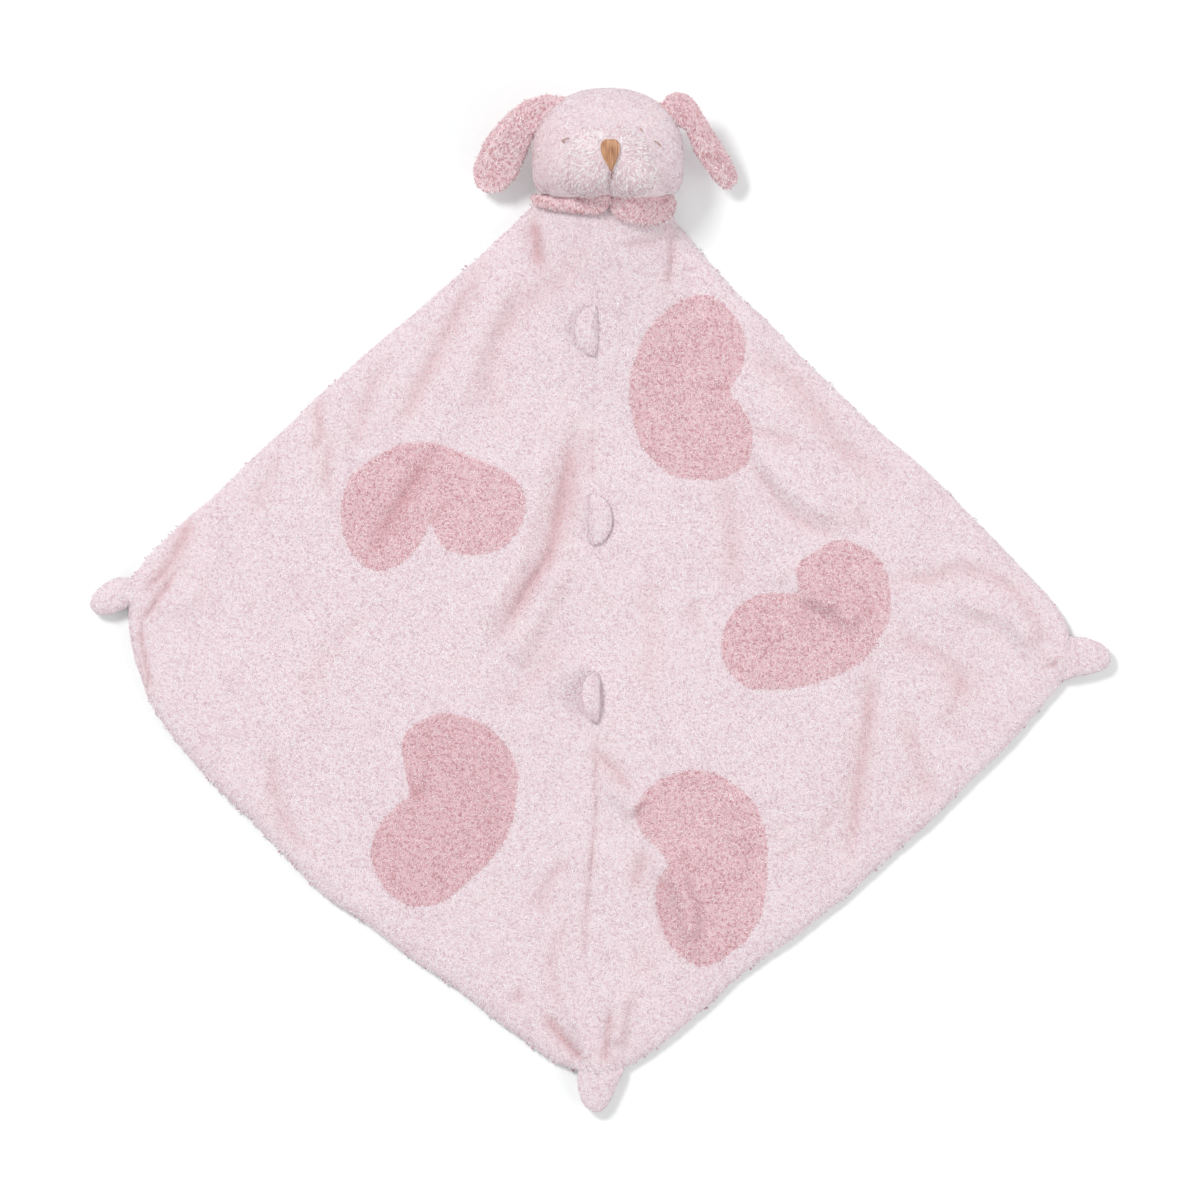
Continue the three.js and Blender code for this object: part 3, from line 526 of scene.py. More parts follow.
# Each fold: its line, its height, its width and, where they aren't the usual ones, the shares kept at its ends
folds = [
    ([(574, 435), (569, 465), (560, 510), (549, 555), (530, 585), (510, 620), (500, 635)], -4.0, 6.0),
    ([(584, 440), (574, 480), (570, 530)], -1.4, 8.0),
    ([(545, 430), (535, 490), (522, 540), (500, 590), (475, 640)], 2.2, 9.0),
    ([(567, 552), (547, 597), (525, 637), (505, 665)], 2.4, 8.0),
    ([(588, 238), (568, 275), (545, 290), (520, 310), (497, 345), (490, 385), (503, 425)], -1.3, 12.0),
    ([(485, 265), (448, 332), (425, 380), (398, 430)], -2.1, 7.0),
    ([(520, 255), (475, 350), (450, 420)], 2.2, 11.0),
    ([(535, 222), (538, 245), (541, 268)], -5.2, 4.6),
    ([(672, 225), (672, 255), (668, 290)], -2.2, 3.5),
    ([(625, 245), (650, 243), (662, 238)], -1.6, 4.0),
    ([(385, 365), (368, 400), (352, 455)], -1.5, 7.0),
    ([(322, 400), (318, 415), (322, 435), (312, 450)], -2.2, 4.0),
    ([(330, 440), (327, 480), (335, 500)], -1.7, 4.5),
    ([(283, 450), (262, 500), (250, 520)], -1.0, 7.0),
    ([(437, 450), (420, 473), (406, 495), (388, 523), (373, 553)], -2.6, 7.0),
    ([(428, 530), (440, 512), (452, 500)], -1.0, 2.5),
    ([(195, 515), (172, 562), (150, 587)], -2.9, 5.5, 0.15, 0.7),
    ([(210, 550), (190, 598), (150, 612)], 1.2, 8.0),
    ([(178, 570), (160, 597), (143, 622)], -2.9, 3.2),
    ([(134, 616), (138, 655), (146, 692)], 2.2, 3.0),
    ([(141, 622), (145, 655), (153, 694)], -2.3, 2.6),
    ([(1057, 663), (1050, 667)], -3.0, 2.2),
    ([(1062, 684), (1046, 702), (1030, 720)], 0.5, 3.5),
    ([(570, 630), (550, 660), (500, 712)], -0.9, 11.0),
    ([(360, 620), (320, 665), (300, 720)], -0.7, 9.0),
    ([(275, 745), (275, 790), (290, 830), (315, 855)], -1.8, 7.0),
    ([(570, 860), (545, 890), (540, 920)], -1.6, 6.0),
    ([(572, 920), (552, 960), (564, 1015)], -1.4, 5.0),
    ([(545, 1015), (560, 1035), (578, 1055)], -5.0, 4.2, 0.2, 0.9),
    ([(570, 1005), (585, 1040), (594, 1064)], 2.2, 5.0),
    ([(625, 990), (618, 1020), (615, 1050)], 3.2, 6.0),
    ([(611, 1010), (606, 1058)], -3.0, 3.0, 0.2, 0.9),
    ([(520, 990), (518, 1005)], -2.3, 3.5),
    ([(745, 355), (790, 378), (820, 420), (850, 455), (890, 480)], -2.0, 10.0),
    ([(757, 450), (785, 480), (820, 505), (850, 518)], 2.6, 8.0),
    ([(752, 460), (765, 482), (785, 510), (812, 527), (832, 536)], -2.0, 5.5),
    ([(750, 430), (800, 445)], -2.0, 5.0),
    ([(857, 505), (865, 530)], -1.3, 4.0),
    ([(890, 580), (930, 579), (960, 569), (990, 576), (1015, 593), (1032, 615), (1055, 643)], -1.7, 6.0),
    ([(950, 600), (1005, 613), (1040, 650)], 3.6, 8.0),
    ([(890, 640), (925, 650), (950, 670), (970, 698)], -1.9, 8.0),
    ([(975, 660), (960, 690), (950, 720), (965, 745)], -1.0, 8.0),
    ([(650, 560), (651, 630), (650, 700)], -0.9, 9.0),
    ([(725, 480), (732, 540), (735, 600)], -1.8, 9.0),
    ([(690, 600), (700, 630)], -1.0, 5.0),
    ([(770, 580), (795, 562)], 1.4, 6.0),
    ([(797, 592), (815, 600), (836, 605)], 2.4, 4.8),
    ([(596, 755), (615, 770), (632, 790)], -3.0, 4.5),
    ([(610, 785), (640, 812)], 3.4, 8.0),
    ([(645, 850), (635, 890)], -2.4, 6.0),
    ([(668, 862), (690, 858)], -1.2, 3.5),
    ([(730, 390), (712, 388)], -1.5, 3.5),
    ([(410, 795), (428, 792)], -1.6, 4.0),
    ([(672, 865), (687, 905), (692, 945)], 4.4, 6.0),
    ([(664, 868), (660, 905), (668, 950)], -1.35, 4.5),
    ([(868, 662), (870, 700), (866, 740), (860, 780), (855, 820), (848, 862)], -2.6, 6.5),
    ([(830, 700), (826, 780), (812, 855)], 1.8, 10.0),
    ([(905, 715), (925, 780), (940, 802)], -1.9, 6.0),
    ([(900, 780), (915, 800)], -0.9, 5.0),
    ([(795, 820), (770, 840)], -0.9, 3.5),
    ([(800, 845), (775, 860)], -0.9, 3.5),
    ([(835, 815), (810, 850)], -0.9, 3.5),
    ([(635, 950), (655, 975)], -0.9, 8.0),
    ([(800, 580), (830, 600), (860, 630)], 3.2, 7.0),
    ([(593, 430), (593, 478)], -1.3, 2.0),
    ([(595, 728), (597, 800), (593, 850), (589, 885), (585, 930), (585, 975)], -1.9, 2.0),
]
chest = {"halfWidth": 38.3, "middle": 2.2, "length": 142, "spread": 26, "lift": 30, "sink": 1.6, "arch": 1.3}

leftLine, rightLine = (smoothLine(fromPhoto(blanket[side]), 4) for side in ("left", "right"))
seamLine = smoothLine(fromPhoto(blanket["seam"]), 4)
outline = np.concatenate([leftLine, rightLine[::-1]])
heartLines = {name: smoothLine(fromPhoto(points), 3, True) for name, points in hearts.items()}

fieldStep, fieldReach, fieldHalf = 1.25, 278, 250
fieldX = np.arange(-fieldReach, fieldReach + 1, fieldStep)
fieldY = np.arange(-fieldHalf, fieldHalf, fieldStep)
gridX, gridY = np.meshgrid(fieldX, fieldY)


def foldField():
    total, valleys = np.full(gridX.shape, blanket["lift"]), np.zeros(gridX.shape)
    for points, height, width, *kept in folds:
        shape = blanket["ridge" if height > 0 else "valley"]
        line, width = smoothLine(fromPhoto(points), 5), width * shape["spread"]
        low, high = line.min(0) - 3 * width, line.max(0) + 3 * width
        rows = slice(*np.searchsorted(fieldY, (low[1], high[1])))
        columns = slice(*np.searchsorted(fieldX, (low[0], high[0])))
        away, nearX, nearY = nearestOn(line, gridX[rows, columns], gridY[rows, columns])
        bump = shape["gain"] * height * np.exp(-((away / width) ** shape["power"]))
        length = np.linalg.norm(np.diff(line, axis=0), axis=1).sum()
        for (x, y), share in zip((line[0], line[-1]), kept or blanket["kept"]):
            near = np.clip(np.hypot(nearX - x, nearY - y) / (blanket["fade"] * length), 0, 1)
            bump *= share + (1 - share) * eased(near)
        total[rows, columns] += bump
        valleys[rows, columns] += np.maximum(-bump, 0)
    for reach, seed, height in blanket["uneven"]:
        total += (softNoise(gridX, gridY, reach, seed) - 0.5) * height
    # Painted shade in the valleys: the deeper colour is laid in by each valley's depth, varied by noise
    noise = blanket["tintNoise"]
    tinted = noise["level"] + noise["share"] * softNoise(gridX, gridY, noise["reach"], noise["seed"])
    paintedShadeMap = valleys / blanket["deepest"] * tinted
    return total, np.clip(paintedShadeMap, 0, 1)


def chestField():
    run = np.clip((blanket["neck"] - gridY) / chest["length"], 0, 1)
    off = np.clip(np.abs(gridX - chest["middle"]) / (chest["halfWidth"] + chest["spread"] * run), 0, 1)
    return chest["lift"] * (1 - run) ** chest["sink"] * (1 - off * off) ** chest["arch"]


def blanketFields():
    sides = [nearestOn(line, gridX, gridY, False, blanket["farthest"])[0] for line in (leftLine, rightLine)]
    toEdge = np.where(inside(outline, gridX, gridY), np.minimum(*sides), 0)
    raised, paintedShadeMap = foldField()
    raised = (raised + np.hypot(raised, blanket["lift"])) / 2
    fallY, fallX = np.gradient(raised, fieldStep)
    # Painted shade on slopes that turn away from the key light at the upper left
    paintedShadeMap = np.clip(paintedShadeMap + np.clip((fallY - fallX) * blanket["shadeTurnedAway"], 0, blanket["mostShadeTurnedAway"]), 0, 1)
    lift = raised * np.clip(toEdge / blanket["edgeBand"], 0, 1) ** blanket["edgePower"] + chestField()
    for x, y in fromPhoto(blanket["nubRoots"]):
        apart = ((gridX - x) ** 2 + (gridY - y) ** 2) / blanket["rootReach"] ** 2
        lift += blanket["rootRise"] * np.exp(-apart)
    slopeY, slopeX = np.gradient(lift, fieldStep)
    rounding = np.sqrt(1 - (1 - np.clip(toEdge / blanket["rim"], 0, 1)) ** 2)
    share = blanket["rimShare"] + (1 - blanket["rimShare"]) * rounding
    depth = (blanket["thickness"] - blanket["pileDepth"]) * share
    top = blanket["bed"] + lift + depth * np.sqrt(1 + slopeX**2 + slopeY**2)
    return {"lift": lift, "top": top, "paintedShadeMap": paintedShadeMap, "slopeX": slopeX, "slopeY": slopeY}


fields = blanketFields()


def sample(name, x, y):
    field = fields[name]
    u = np.clip((np.asarray(x) - fieldX[0]) / fieldStep, 0, field.shape[1] - 1.001)
    v = np.clip((np.asarray(y) - fieldY[0]) / fieldStep, 0, field.shape[0] - 1.001)
    i, j = u.astype(int), v.astype(int)
    s, t = u - i, v - j
    upper = field[j + 1, i] * (1 - s) + field[j + 1, i + 1] * s
    return (field[j, i] * (1 - s) + field[j, i + 1] * s) * (1 - t) + upper * t


print("blanket's folds laid out")


# A grid whose corners are drawn onto the lines, so that the pieces are cut along them
def cutGrid(cell, lines):
    columns = np.arange(-blanket["reach"], blanket["reach"] + 1, cell)
    rows = np.arange(blanket["foot"] - 2, blanket["neck"] + 1, cell)
    x, y = np.meshgrid(columns, rows)
    taken = np.zeros(x.shape, bool)
    for line, closed in lines:
        away, nearX, nearY = nearestOn(line, x, y, closed, 2 * cell)
        drawn = (away <= cell * blanket["snap"]) & ~taken
        x, y, taken = np.where(drawn, nearX, x), np.where(drawn, nearY, y), taken | drawn
    number = np.arange(x.size).reshape(x.shape)
    a, b, c, d = number[:-1, :-1], number[:-1, 1:], number[1:, 1:], number[1:, :-1]
    level = (taken[:-1, 1:] & taken[1:, :-1] & ~(taken[:-1, :-1] & taken[1:, 1:]))[..., None]
    first = np.where(level, np.stack([a, b, d], -1), np.stack([a, b, c], -1)).reshape(-1, 3)
    second = np.where(level, np.stack([b, c, d], -1), np.stack([a, c, d], -1)).reshape(-1, 3)
    return np.stack([x.ravel(), y.ravel()], -1), np.concatenate([first, second])


def openEdges(faces):
    edges = np.concatenate([faces[:, [0, 1]], faces[:, [1, 2]], faces[:, [2, 0]]])
    key = np.sort(edges, 1)
    _, index, count = np.unique(key, axis=0, return_index=True, return_counts=True)
    return edges[index[count == 1]]


def regionOf(spots, faces, beyond=0.0):
    # Keeps a region's own points and moves its rim out a little
    used, faces = np.unique(faces, return_inverse=True)
    faces = faces.reshape(-1, 3)
    spots = spots[used].copy()
    rim = openEdges(faces)
    middles = spots[faces].mean(1)
    pull, weight = np.zeros(spots.shape), np.zeros(len(spots))
    for k in range(3):
        np.add.at(pull, faces[:, k], middles)
        np.add.at(weight, faces[:, k], 1)
    way = pull / weight[:, None] - spots
    way /= np.maximum(np.linalg.norm(way, axis=1), 1e-6)[:, None]
    onRim = np.zeros(len(spots), bool)
    onRim[rim.ravel()] = True
    spots[onRim] -= way[onRim] * beyond
    return spots, faces, rim, way * onRim[:, None] * blanket["rimGap"]


def slabOf(spots, faces, rim, low, high, inward=None):
    # The upper face stops just short of the rim, so that its shading stays even up to there
    count, onRim = len(spots), np.unique(rim)
    ring = np.zeros(count, int)
    ring[onRim] = 2 * count + np.arange(len(onRim))
    upper = np.column_stack([spots if inward is None else spots + inward, high])
    ringed = np.column_stack([spots[onRim], high[onRim] - blanket["rimDrop"]])
    points = np.concatenate([upper, np.column_stack([spots, low]), ringed])
    strip = [(a, ring[a], ring[b], b) for a, b in rim]
    walls = [(ring[a], a + count, b + count, ring[b]) for a, b in rim]
    return points, list(faces) + strip + list(faces[:, ::-1] + count) + walls, walls


def bandsOf(faces, points, cuts):
    middle = points[[f[0] for f in faces], 1]
    return [[f for f, m in zip(faces, middle) if low <= m < high] for low, high in zip(cuts, cuts[1:])]


def frontTop(spots):
    sunk = np.zeros(len(spots))
    for kind, lines in (("seam", [seamLine]), ("heart", heartLines.values())):
        depth, width = blanket["groove"][kind]
        for line in lines:
            away = nearestOn(line, *spots.T, kind == "heart", 6)[0]
            sunk = np.maximum(sunk, depth * np.exp(-((away / width) ** 2)))
    return sample("top", *spots.T) - sunk


def acrossNeck(piece):
    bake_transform(piece)


regions = {
    "left": {"node": "front_panel_left", "flat": (0.265, 0.487)},
    "right": {"node": "front_panel_right", "flat": (0.268, 0.487)},
    "upperLeft": {"node": "heart_patch_upper_left", "flat": (0.101, 0.072)},
    "upperRight": {"node": "heart_patch_upper_right", "flat": (0.068, 0.103)},
    "midRight": {"node": "heart_patch_mid_right", "flat": (0.094, 0.083)},
    "lowerLeft": {"node": "heart_patch_lower_left", "flat": (0.08, 0.106)},
    "lowerRight": {"node": "heart_patch_lower_right", "flat": (0.074, 0.108)},
}


def cutFront():
    # Triangles of the front, with the area of each and the name of the region that it is in
    lines = [(outline, True), *((line, True) for line in heartLines.values()), (seamLine, False)]
    spots, faces = cutGrid(blanket["cell"], lines)
    a, b, c = (spots[faces[:, k]] for k in range(3))
    areas, middle = np.cross(b - a, c - a) / 2, (a + b + c) / 3
    onLeft = middle[:, 0] < np.interp(middle[:, 1], seamLine[::-1, 1], seamLine[::-1, 0])
    label = np.where(onLeft, "left", "right").astype("U12")
    for name, line in heartLines.items():
        label[inside(line, *middle.T)] = name
    label[~inside(outline, *middle.T) | (areas <= 5e-4)] = ""
    return spots, faces, areas, label


def makeRegion(number, region, cut):
    spots, faces, areas, label = cut
    isPanel = region in ("left", "right")
    fabric = "pinkPlush" if isPanel else "rosePlush"
    beyond, step = blanket["overlap"][region if isPanel else "heart"]
    own, ownFaces, rim, inward = regionOf(spots, faces[label == region], beyond)
    high = frontTop(own) + step
    low = np.minimum(blanket["bed"] + sample("lift", *own.T), high - blanket["thinnest"])
    points, allFaces, walls = slabOf(own, ownFaces, rim, low, high, inward)
    name = ("front" if isPanel else "heart") + region[0].upper() + region[1:]
    piece = newPiece(name, points, allFaces, fabrics[fabric], len(walls))
    # Painted shade of the folds and slopes, and more painted shade over the whole lower-left heart
    paintedShade = sample("paintedShadeMap", *points[:, :2].T) + blanket["regionShade"].get(region, 0)
    mark(piece, "paintedShade", paintedShade)
    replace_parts(piece, regions[region]["node"])
    flatArea = areas[label == region].sum() / 1e6
    acrossNeck(piece)
    comb = swirl(points, *blanket["comb"])
    kind, cuts = ("blanket", blanket["bands"]) if isPanel else ("hearts", (-999, 999))
    for k, band in enumerate(bandsOf(ownFaces, points, cuts)):
        seed = 20 + 7 * number + k
        acrossNeck(growPile(f"{name}Pile{k}", kind, fabric, points, band, comb, seed, paintedShade=paintedShade))


cut = cutFront()
for number, region in enumerate(regions):
    makeRegion(number, region, cut)
print("front of the blanket made,", pileCount["tufts"], "tufts")

backing = {
    "cell": 3.2, "under": 1.0, "over": 3.0, "rim": 4.0, "rimDepth": 0.8, "pileFloor": 0.05,
    "comb": (12, 20), "bands": (-999, -60, 60, 999), "area": 0.153,
}


def makeBack():
    spots, faces = cutGrid(backing["cell"], [(outline, True)])
    spots, faces, rim, _ = regionOf(spots, faces[inside(outline, *spots[faces].mean(1).T)])
    toRim = np.minimum(nearestOn(leftLine, *spots.T)[0], nearestOn(rightLine, *spots.T)[0])
    curve = np.sqrt(1 - (1 - np.clip(toRim / backing["rim"], 0, 1)) ** 2)
    rimLevel = backing["over"] - backing["rimDepth"]
    low = rimLevel - (rimLevel - backing["under"]) * curve
    points, allFaces, _ = slabOf(spots, faces, rim, low, np.full(len(spots), backing["over"]))
    piece = newPiece("back", points, allFaces, fabrics["pinkPlush"])
    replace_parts(piece, "back_panel")
    acrossNeck(piece)
    comb, below = swirl(points, *backing["comb"]), faces[:, ::-1] + len(spots)
    for k, band in enumerate(bandsOf(below, points, backing["bands"])):
        name, floor = f"backPile{k}", backing["pileFloor"]
        acrossNeck(growPile(name, "back", "pinkPlush", points, band, comb, 80 + k, floor=floor))


makeBack()
print("back of the blanket made,", pileCount["tufts"], "tufts")


# Stuffed forms: a ball pushed out to its reach on each side
def ball(detail):
    mesh = bmesh.new()
    bmesh.ops.create_icosphere(mesh, subdivisions=detail, radius=1)
    points = np.array([v.co for v in mesh.verts])
    faces = np.array([[v.index for v in f.verts] for f in mesh.faces])
    mesh.free()
    return points / np.linalg.norm(points, axis=1)[:, None], faces


def flatShare(form, x, y):
    # From 0 in the middle to 1 at the form's outline as seen from above
    power = np.where(y > 0, form["frontPower"], form["backPower"])
    reach = np.where(y > 0, form["front"], form["back"])
    return (np.abs(x / form["halfWidth"]) ** power + np.abs(y / reach) ** power) ** (1 / power)


def spread(way, form):
    return np.hypot(flatShare(form, way[:, 0], way[:, 1]), way[:, 2] / form["halfHeight"])


def formHeight(form, x, y):
    return form["halfHeight"] * np.sqrt(np.clip(1 - flatShare(form, x, y) ** 2, 0, 1))


def moundHeight(form, x, y):
    # Runs on below its own foot, so that it meets the skull at a slant
    return form["halfHeight"] * (1 - flatShare(form, x, y) ** 2.5)


def stuffed(name, points, faces, fabric, nodes, body, fill):
    piece = newPiece(name, points, faces, fabrics[fabric])
    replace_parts(piece, *nodes)
    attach(piece, body)
    return piece


head = {
    "halfWidth": 42.2, "front": 37.8, "back": 27, "halfHeight": 31, "frontPower": 2.2, "backPower": 4,
    "centre": np.array([4.4, 262.98, 30.5]), "chinDrop": 10, "chinRun": 21, "skin": 0.4, "floor": 0.9,
    "neckEdge": blanket["neck"] + 0.3, "jaw": 2.8, "jawHeight": 43, "jawReach": 17,
    "roll": 5.0, "rollReach": 8.0, "rollRise": 10, "underMuzzle": 1.6, "seamDepth": 0.8, "seamWidth": 1.5,
    "faceShade": {"all": 0.06, "side": (0.55, 0.9), "chin": (0.42, 0.4)}, "pileFloor": 0.1,
    "comb": (13, 16), "pileStart": 0.8, "pileBelowJaw": 4, "coveredFrom": 0.8, "faceFrom": 0.05, "fill": 0.8,
}
muzzle = {
    "dome": {"halfWidth": 28, "front": 21, "back": 21, "halfHeight": 21, "frontPower": 2, "backPower": 2.4},
    "jowl": {"halfWidth": 17, "front": 13.5, "back": 13.5, "halfHeight": 16, "frontPower": 2, "backPower": 2.2},
    "rise": 18.5, "jowlSpacing": 24, "jowlDistance": 10.5, "skin": 1.0, "fillet": 12.0, "merge": 7.0,
    "cleft": {"depth": 2.6, "width": 1.8, "off": 0.6, "end": 248.5, "fade": 6},
    "farthest": 60.0, "halvings": 24, "swellStart": 0.5, "swellReach": 3, "proud": 0.4, "startBack": 3,
    "comb": (15, 9), "sunkUnder": 1.2, "buriedBelow": 0.4, "combNoise": 0.4, "noseGap": 0.3, "fill": 0.8,
    "faceShade": {"all": 0.0, "side": (0.2, 0.6), "chin": (0.3, 0.5)},
}


def shellOf(form, skin):
    return {**form, **{key: form[key] - skin for key in ("halfWidth", "front", "back", "halfHeight")}}


def chinSink(y):
    return head["chinDrop"] * (np.maximum(-y, 0) / head["chinRun"]) ** 2


def skullTop(x, y):
    rise = formHeight(shellOf(head, head["skin"]), x - head["centre"][0], y - head["centre"][1])
    found = head["centre"][2] + rise - chinSink(y - head["centre"][1])
    return np.where(rise > 0, found, -1e3)


def muzzleForms():
    centre = head["centre"] + [0, 0, muzzle["rise"]]
    yield shellOf(muzzle["dome"], muzzle["skin"]), centre
    for side in (-1, 1):
        aside = [side * muzzle["jowlSpacing"] / 2, -muzzle["jowlDistance"], 0]
        yield shellOf(muzzle["jowl"], muzzle["skin"]), centre + aside


def joined(first, second, reach):
    near = np.clip(1 - np.abs(first - second) / reach, 0, 1)
    return np.maximum(first, second) + near**2 * reach / 4


def muzzleTop(x, y):
    found = np.full(np.shape(x), -1e3)
    for form, centre in muzzleForms():
        own = centre[2] + moundHeight(form, x - centre[0], y - centre[1])
        found = joined(found, own, muzzle["merge"])
    cleft = muzzle["cleft"]
    across = np.exp(-(((x - head["centre"][0] - cleft["off"]) / cleft["width"]) ** 2))
    return found - cleft["depth"] * across * np.clip((cleft["end"] + cleft["fade"] - y) / cleft["fade"], 0, 1)


def faceTop(x, y):
    x, y = np.asarray(x, float), np.asarray(y, float)
    return joined(skullTop(x, y), muzzleTop(x, y), muzzle["fillet"])


def reachTo(way, start, form, centre):
    # How far the form's surface is from the start: the gap between inside and outside is halved again and again
    near, far = np.zeros(len(way)), np.full(len(way), muzzle["farthest"])
    for _ in range(muzzle["halvings"]):
        half = (near + far) / 2
        within = spread(start + way * half[:, None] - centre, form) < 1
        near, far = np.where(within, half, near), np.where(within, far, half)
    return near


def bulgeAt(points):
    return muzzleTop(*points[:, :2].T) - skullTop(*points[:, :2].T)


def swellOf(bulge):
    return np.clip((bulge - muzzle["swellStart"]) / muzzle["swellReach"], -1, 1)


# Painted shade: a little over the whole form, more towards its left side and towards the chin
def faceShadeOf(points, look):
    off = (points - head["centre"]) / [head["halfWidth"], head["front"], head["halfHeight"]]
    (sideStart, sideGain), (chinStart, chinGain) = look["side"], look["chin"]
    side, chin = np.clip(-off[:, 0] - sideStart, 0, 1), np.clip(-off[:, 1] - chinStart, 0, 1)
    return look["all"] + side * sideGain + chin * chinGain


def headShape():
    way, faces = ball(6)
    points = way / spread(way, shellOf(head, head["skin"]))[:, None]
    points[:, 2] -= chinSink(points[:, 1])
    points += head["centre"]
    atNeck = points[:, 1] < head["neckEdge"]
    jaw = np.clip(1 - ((points[:, 2] - head["jawHeight"]) / head["jawReach"]) ** 2, 0, 1)
    points[:, 1] = np.where(atNeck, head["neckEdge"] - head["jaw"] * jaw, points[:, 1])
    points[:, 2] = np.maximum(points[:, 2], head["floor"])
    above, bulge = (way[:, 2] > head["faceFrom"]) & ~atNeck, bulgeAt(points)
    sunk = faceTop(*points[:, :2].T) - head["underMuzzle"] * np.maximum(swellOf(bulge), 0)
    points[above, 2] = sunk[above]
    over = np.clip(1 - (points[:, 1] - blanket["neck"] + head["jaw"]) / head["rollReach"], 0, 1)
    high = np.clip((points[:, 2] - head["jawHeight"]) / head["rollRise"], 0, 1)
    points[:, 2] -= head["roll"] * over**2 * high
    sideSeam = np.exp(-(((points[:, 2] - head["centre"][2]) / head["seamWidth"]) ** 2))
    backSeam = np.exp(-(((points[:, 0] - head["centre"][0]) / head["seamWidth"]) ** 2)) * (way[:, 2] < 0)
    points = points - way * (head["seamDepth"] * np.maximum(sideSeam, backSeam))[:, None]
    return points, faces, (way[:, 2] > 0) & (bulge > head["coveredFrom"])


def makeHead():
    points, faces, covered = headShape()
    nodes = ("face_panel", "head_back_left", "head_back_right", "neck_disc", "head_filling")
    piece = stuffed("headCover", points, faces, "pinkPlush", nodes, "head", head["fill"])
    faceShade = faceShadeOf(points, head["faceShade"])
    mark(piece, "paintedShade", faceShade)
    comb = swirl(points, *head["comb"]) + [0, 0.3, 0]
    bare = blanket["neck"] + head["pileStart"]
    shown = (points[:, 1] > bare) | (points[:, 2] > head["jawHeight"] - head["pileBelowJaw"])
    cover, floor = (shown & ~covered).astype(float), head["pileFloor"]
    tufts = growPile("headPile", "head", "pinkPlush", points, faces, comb, 90, cover, floor, faceShade)
    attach(tufts, "head")


makeHead()

nose = {
    "outline": [
        (610.5, 141), (615, 141.6), (618.3, 144.6), (619.2, 151), (617.8, 157), (615.5, 163), (613.2, 168),
        (611.5, 172), (609, 168), (605.5, 162.5), (602.5, 156.5), (601, 150), (601.6, 144.6), (605.4, 141.6),
    ],
    "threads": 13, "radius": 0.56, "height": 2.0, "crown": 0.9, "reach": 0.95, "edges": (1.2, 2.5),
}
noseLine = smoothLine(fromPhoto(nose["outline"]), 5, True)


def muzzleShape():
    way, faces = ball(6)
    start = head["centre"] + [0, -muzzle["startBack"], muzzle["rise"]]
    reach = np.max([reachTo(way, start, form, centre) for form, centre in muzzleForms()], 0)
    points = start + way * reach[:, None]
    bulge, above = bulgeAt(points), way[:, 2] > 0
    proud = swellOf(bulge) * muzzle["proud"]
    points[above, 2] = (faceTop(*points[:, :2].T) + proud)[above]
    floor = skullTop(*points[~above, :2].T) - muzzle["sunkUnder"]
    points[~above, 2] = np.maximum(points[~above, 2], floor)
    return points, faces, ~above | (bulge < -muzzle["buriedBelow"])


def makeMuzzle():
    points, faces, buried = muzzleShape()
    piece = stuffed("muzzleCover", points, faces, "muzzlePlush", ["muzzle_cover"], "head", muzzle["fill"])
    faceShade = faceShadeOf(points, muzzle["faceShade"])
    mark(piece, "paintedShade", faceShade)
    # The pile runs away from the nose and leaves its place bare
    comb = points - np.array([*noseLine.mean(0), points[:, 2].max()])
    comb /= np.maximum(np.linalg.norm(comb, axis=1), 1e-3)[:, None]
    comb += muzzle["combNoise"] * swirl(points, *muzzle["comb"])
    away = nearestOn(noseLine, points[:, 0], points[:, 1], True)[0]
    bare = inside(noseLine, points[:, 0], points[:, 1]) | (away < muzzle["noseGap"]) | buried
    cover = np.where(bare, 0.0, 1.0)
    tufts = growPile("muzzlePile", "muzzle", "muzzlePlush", points, faces, comb, 91, cover, paintedShade=faceShade)
    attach(tufts, "head")


makeMuzzle()
print("head and muzzle made,", pileCount["tufts"], "tufts")


def sewn(name, lines, radius, material, points=14, sides=8):
    spots, edges = [], []
    for line in lines:
        first = len(spots)
        spots += [tuple(p) for p in line]
        edges += [(first + k, first + k + 1) for k in range(len(line) - 1)]
    mesh = bpy.data.meshes.new(name + "Lines")
    mesh.from_pydata((np.array(spots) * 0.001).tolist(), edges, [])
    values = {"Radius": radius * 0.001, "Sides": sides, "Points": points, "Material": material}
    piece = madeByNodes(name, link(name + "Lines", mesh), threadNodes, values)
    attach(piece, "head")
    return piece


def crossings(line, y):
    ends = zip(line, np.roll(line, -1, 0))
    return [a[0] + (y - a[1]) * (b[0] - a[0]) / (b[1] - a[1]) for a, b in ends if (a[1] > y) != (b[1] > y)]


def noseThread(share):
    # A thread fans out from the tip: its place is a share of the nose's half width at each height
    heights, spots = np.linspace(noseLine[:, 1].max(), noseLine[:, 1].min(), 60), []
    for y in heights:
        found = crossings(noseLine, y)
        if len(found) >= 2:
            left, right = min(found), max(found)
            x = (left + right) / 2 + share * (right - left) / 2
            top, tip = nose["edges"]
            edge = max(0.0, min(1.0, (y - heights[-1]) / tip, (heights[0] - y) / top))
            puff = nose["height"] + nose["crown"] * (1 - share * share)
            spots.append((x, y, faceTop(x, y) + puff * math.sqrt(edge) - 0.2))
    return spots


shares = np.linspace(-nose["reach"], nose["reach"], nose["threads"])
noseLines = [noseThread(share) for share in shares]
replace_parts(sewn("noseThreads", noseLines, nose["radius"], tanThread, 20), "nose_stitching")

